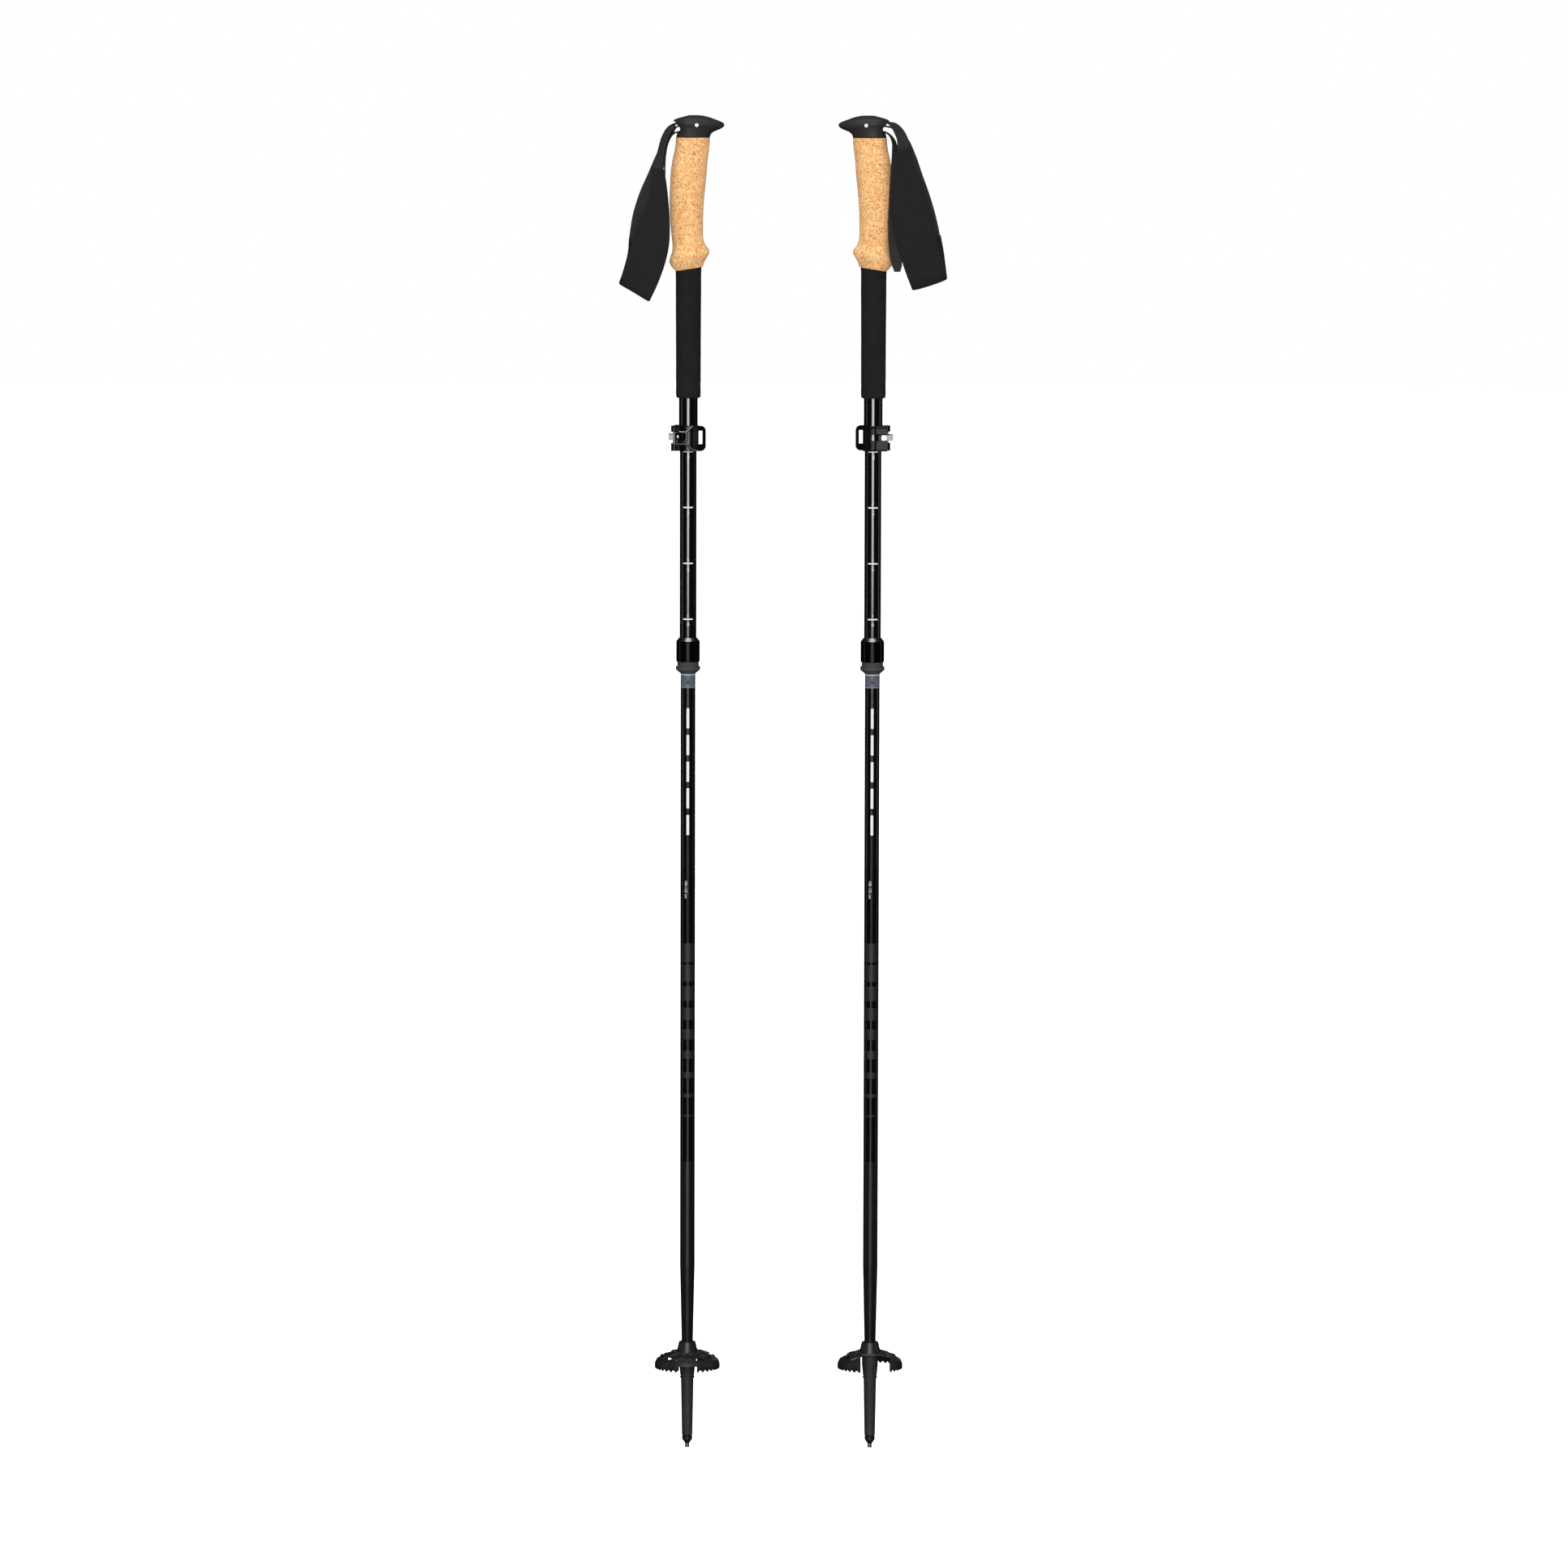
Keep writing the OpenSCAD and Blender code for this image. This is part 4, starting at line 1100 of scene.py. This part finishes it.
def figures(text, size, x, z, r):
    """Lettering wrapped round the front of a tube, running down the pole."""
    curve = bpy.data.curves.new("figures", "FONT")
    curve.body, curve.size, curve.align_x, curve.align_y = text, size * MM, "CENTER", "CENTER"
    piece = bpy.data.objects.new("figures", curve)
    bpy.context.scene.collection.objects.link(piece)
    mesh = baked(piece)
    bpy.data.curves.remove(curve)
    stand = Matrix.Rotation(math.pi / 2, 4, "X")
    spin = Matrix.Rotation(math.pi / 2, 4, "Y")
    mesh.transform(Matrix.Translation((x * MM, 0, z * MM)) @ spin @ stand)
    fine = bmesh.new()
    fine.from_mesh(mesh)
    bmesh.ops.triangulate(fine, faces=fine.faces)
    bmesh.ops.subdivide_edges(fine, edges=fine.edges, cuts=1)
    for vertex in fine.verts:
        a = vertex.co.x / MM / r
        vertex.co.x, vertex.co.y = r * math.sin(a) * MM, -r * math.cos(a) * MM
    fine.to_mesh(mesh)
    fine.free()
    return mesh


scale_r, fold_r = radius("scale_shaft"), radius("fold_shaft")
PROUD = 0.03
TOP_READING = 120
TICK_STEP = 50
TICK_W = 9.1
TICK_HALF = 0.6
ticks = [LOCK_Z - 0.4 - TICK_STEP * i for i in range(4)]
for side in SIDES:
    drawn = []
    for i, z in enumerate(ticks):
        drawn.append(bent_patch(TICK_W, z - TICK_HALF, z + TICK_HALF, scale_r + PROUD))
        drawn.append(figures(str(TOP_READING - TICK_STEP // 10 * i), 2.9, 0, z - 4.4, scale_r + PROUD))
        if i:
            drawn.append(figures("cm", 2.5, 0, z + 3.2, scale_r + PROUD))
    on_pole(side, "scale_marks", drawn, "scale_section", "white_ink")
print("ticks at", [round(z, 1) for z in ticks])

# %% [markdown]
# The lock band is a full ring, because it is dipped. The padlock on it is drawn from a body, a bow and
# nothing more.

# %% Lock band and dashes
def full_ring(low, high, r, count=96):
    """A band all the way round a tube."""
    turns = [2 * math.pi * j / count for j in range(count)]
    points = [(r * math.cos(a), r * math.sin(a), z) for z in (low, high) for a in turns]
    faces = [(j, (j + 1) % count, count + (j + 1) % count, count + j) for j in range(count)]
    return mesh_of("ring", points, faces)


def padlock(z, r):
    body = bent_patch(3.0, z - 2.1, z + 0.5, r)
    legs = [bent_patch(0.5, z + 0.5, z + 1.9, r) for side in (-1, 1)]
    for leg, off in zip(legs, (-0.8, 0.8)):
        leg.transform(Matrix.Rotation(off / r, 4, "Z"))
    return [body, *legs, bent_patch(2.1, z + 1.7, z + 2.2, r)]


COLLAR_Z = level("slide_collar")
EDGE_PROUD = 0.035
LOCK_PROUD = 0.045
DASH_HALF = 9
DASHES = [662 - 24 * i for i in range(5)]
low, high = COLLAR_Z - 12.3, COLLAR_Z - 1.5
for side in SIDES:
    edges = [full_ring(a, b, fold_r + EDGE_PROUD) for a, b in ((high, high + 1.1), (low - 0.25, low))]
    dashes = [bent_patch(2.4, z - DASH_HALF, z + DASH_HALF, fold_r + PROUD) for z in DASHES]
    drawn_on_fold = {
        "lock_band": ([full_ring(low, high, fold_r + PROUD)], "band_ink"),
        "lock_band_edges": (edges, "silver_ink"),
        "lock_padlock": (padlock(high - 5.6, fold_r + LOCK_PROUD), "dark_ink"),
        "shaft_dashes": (dashes, "white_ink"),
    }
    for name, (meshes, colour) in drawn_on_fold.items():
        on_pole(side, name, meshes, "fold_section", colour)
    reach = figures("105-125 cm", 3.4, -1.6, 508, fold_r + PROUD)
    on_pole(side, "range_text", [reach], "middle_section", "white_ink")
print("lock band", round(low, 1), "to", round(high, 1))

# %% [markdown]
# ## Studio
# The poles are shown against white. The floor is a wide pale disc, and the world is white to the
# camera but dimmer as a light, so that the black paint keeps its depth.

# %% Floor and world
floor_mesh = bpy.data.meshes.new("floor")
FLOOR_R = 20
FLOOR_SIDES = 64
turns = [2 * math.pi * j / FLOOR_SIDES for j in range(FLOOR_SIDES)]
rim = [(FLOOR_R * math.cos(a), FLOOR_R * math.sin(a), 0) for a in turns]
floor_mesh.from_pydata(rim, [], [tuple(range(FLOOR_SIDES))])
floor = bpy.data.objects.new("floor", floor_mesh)
bpy.context.scene.collection.objects.link(floor)
paper = Finish("paper", Roughness=0.9, Specular_IOR_Level=0.2)
paper.feed("Base Color", paper.tint(paper.cloud(3, 2), grey(0.88), grey(0.92)))
paper.feed("Emission Color", (1.0, 1.0, 1.0))
paper.feed("Emission Strength", 0.9)
floor_mesh.materials.append(paper.material)
floor.visible_glossy = floor.visible_diffuse = False

WORLD_FILL = 0.5
WORLD_GLOSS = 0.015
WORLD_SHOWN = 1.0
world = bpy.data.worlds.new("studio")
bpy.context.scene.world = world
world.use_nodes = True
tree = world.node_tree
background = tree.nodes["Background"]
rays = tree.nodes.new("ShaderNodeLightPath")
dim = tree.nodes.new("ShaderNodeMapRange")
dim.inputs["To Min"].default_value = WORLD_FILL
dim.inputs["To Max"].default_value = WORLD_GLOSS
shown = tree.nodes.new("ShaderNodeMapRange")
shown.inputs["To Max"].default_value = WORLD_SHOWN
tree.links.new(rays.outputs["Is Glossy Ray"], dim.inputs["Value"])
tree.links.new(dim.outputs["Result"], shown.inputs["To Min"])
tree.links.new(rays.outputs["Is Camera Ray"], shown.inputs["Value"])
tree.links.new(shown.outputs["Result"], background.inputs["Strength"])
background.inputs["Color"].default_value = (1, 1, 1, 1)
print("floor and world ready")

# %% [markdown]
# ## Lights
# A big soft light in front draws the bright line down each tube. It ends above the ground, so the line
# fades on the lower tubes, and a small low card lifts them. The other lights shape the edges.

# %% Lights
def soft_light(name, place, aim, width, height, power):
    light = bpy.data.lights.new(name, "AREA")
    light.shape, light.size, light.size_y, light.energy = "RECTANGLE", width, height, power
    piece = bpy.data.objects.new(name, light)
    bpy.context.scene.collection.objects.link(piece)
    piece.location = place
    piece.rotation_euler = (Vector(aim) - Vector(place)).to_track_quat("-Z", "Y").to_euler()
    piece.visible_camera = False


soft_light("key", (-0.25, -6.8, 1.95), (-0.25, 0, 1.95), 3.2, 3.4, 300)
soft_light("low_card", (0, -1.0, 0.15), (0, 0, 0.15), 0.34, 0.30, 0.45)
soft_light("left_side", (-4.2, -0.25, 1.2), (0, 0, 0.7), 0.6, 3.4, 7)
soft_light("right_side", (4.2, 0.1, 1.2), (0, 0, 0.7), 0.5, 3.4, 6)
soft_light("top", (0, -0.6, 4.2), (0, 0, 0.9), 2.0, 2.0, 50)
soft_light("back", (0.8, 6.4, 1.8), (0, 0, 0.7), 3.0, 3.6, 12)

# %% [markdown]
# ## Camera
# The camera stands a little above the poles' middle and looks down by a few degrees, so it sees the
# baskets from above and the heads from the side.

# %% Camera
camera = bpy.data.objects.new("camera", bpy.data.cameras.new("camera"))
bpy.context.scene.collection.objects.link(camera)
CAMERA_AWAY = 7.0
CAMERA_DROP = math.radians(5.7)
VIEW_WIDTH = 1.4058
VIEW_Z = 0.6025
VIEW_X = 0.0020
CAMERA_ROLL = math.radians(-0.137)
SENSOR = 36
camera.location = (VIEW_X, -CAMERA_AWAY * math.cos(CAMERA_DROP), VIEW_Z + CAMERA_AWAY * math.sin(CAMERA_DROP))
camera.rotation_euler = (math.pi / 2 - CAMERA_DROP, CAMERA_ROLL, 0)
camera.data.sensor_width = SENSOR
camera.data.lens = SENSOR * CAMERA_AWAY / VIEW_WIDTH
camera.data.clip_end = 100
bpy.context.scene.camera = camera
bpy.context.scene.view_settings.view_transform = "Standard"
print("lens", round(camera.data.lens, 1), "mm")
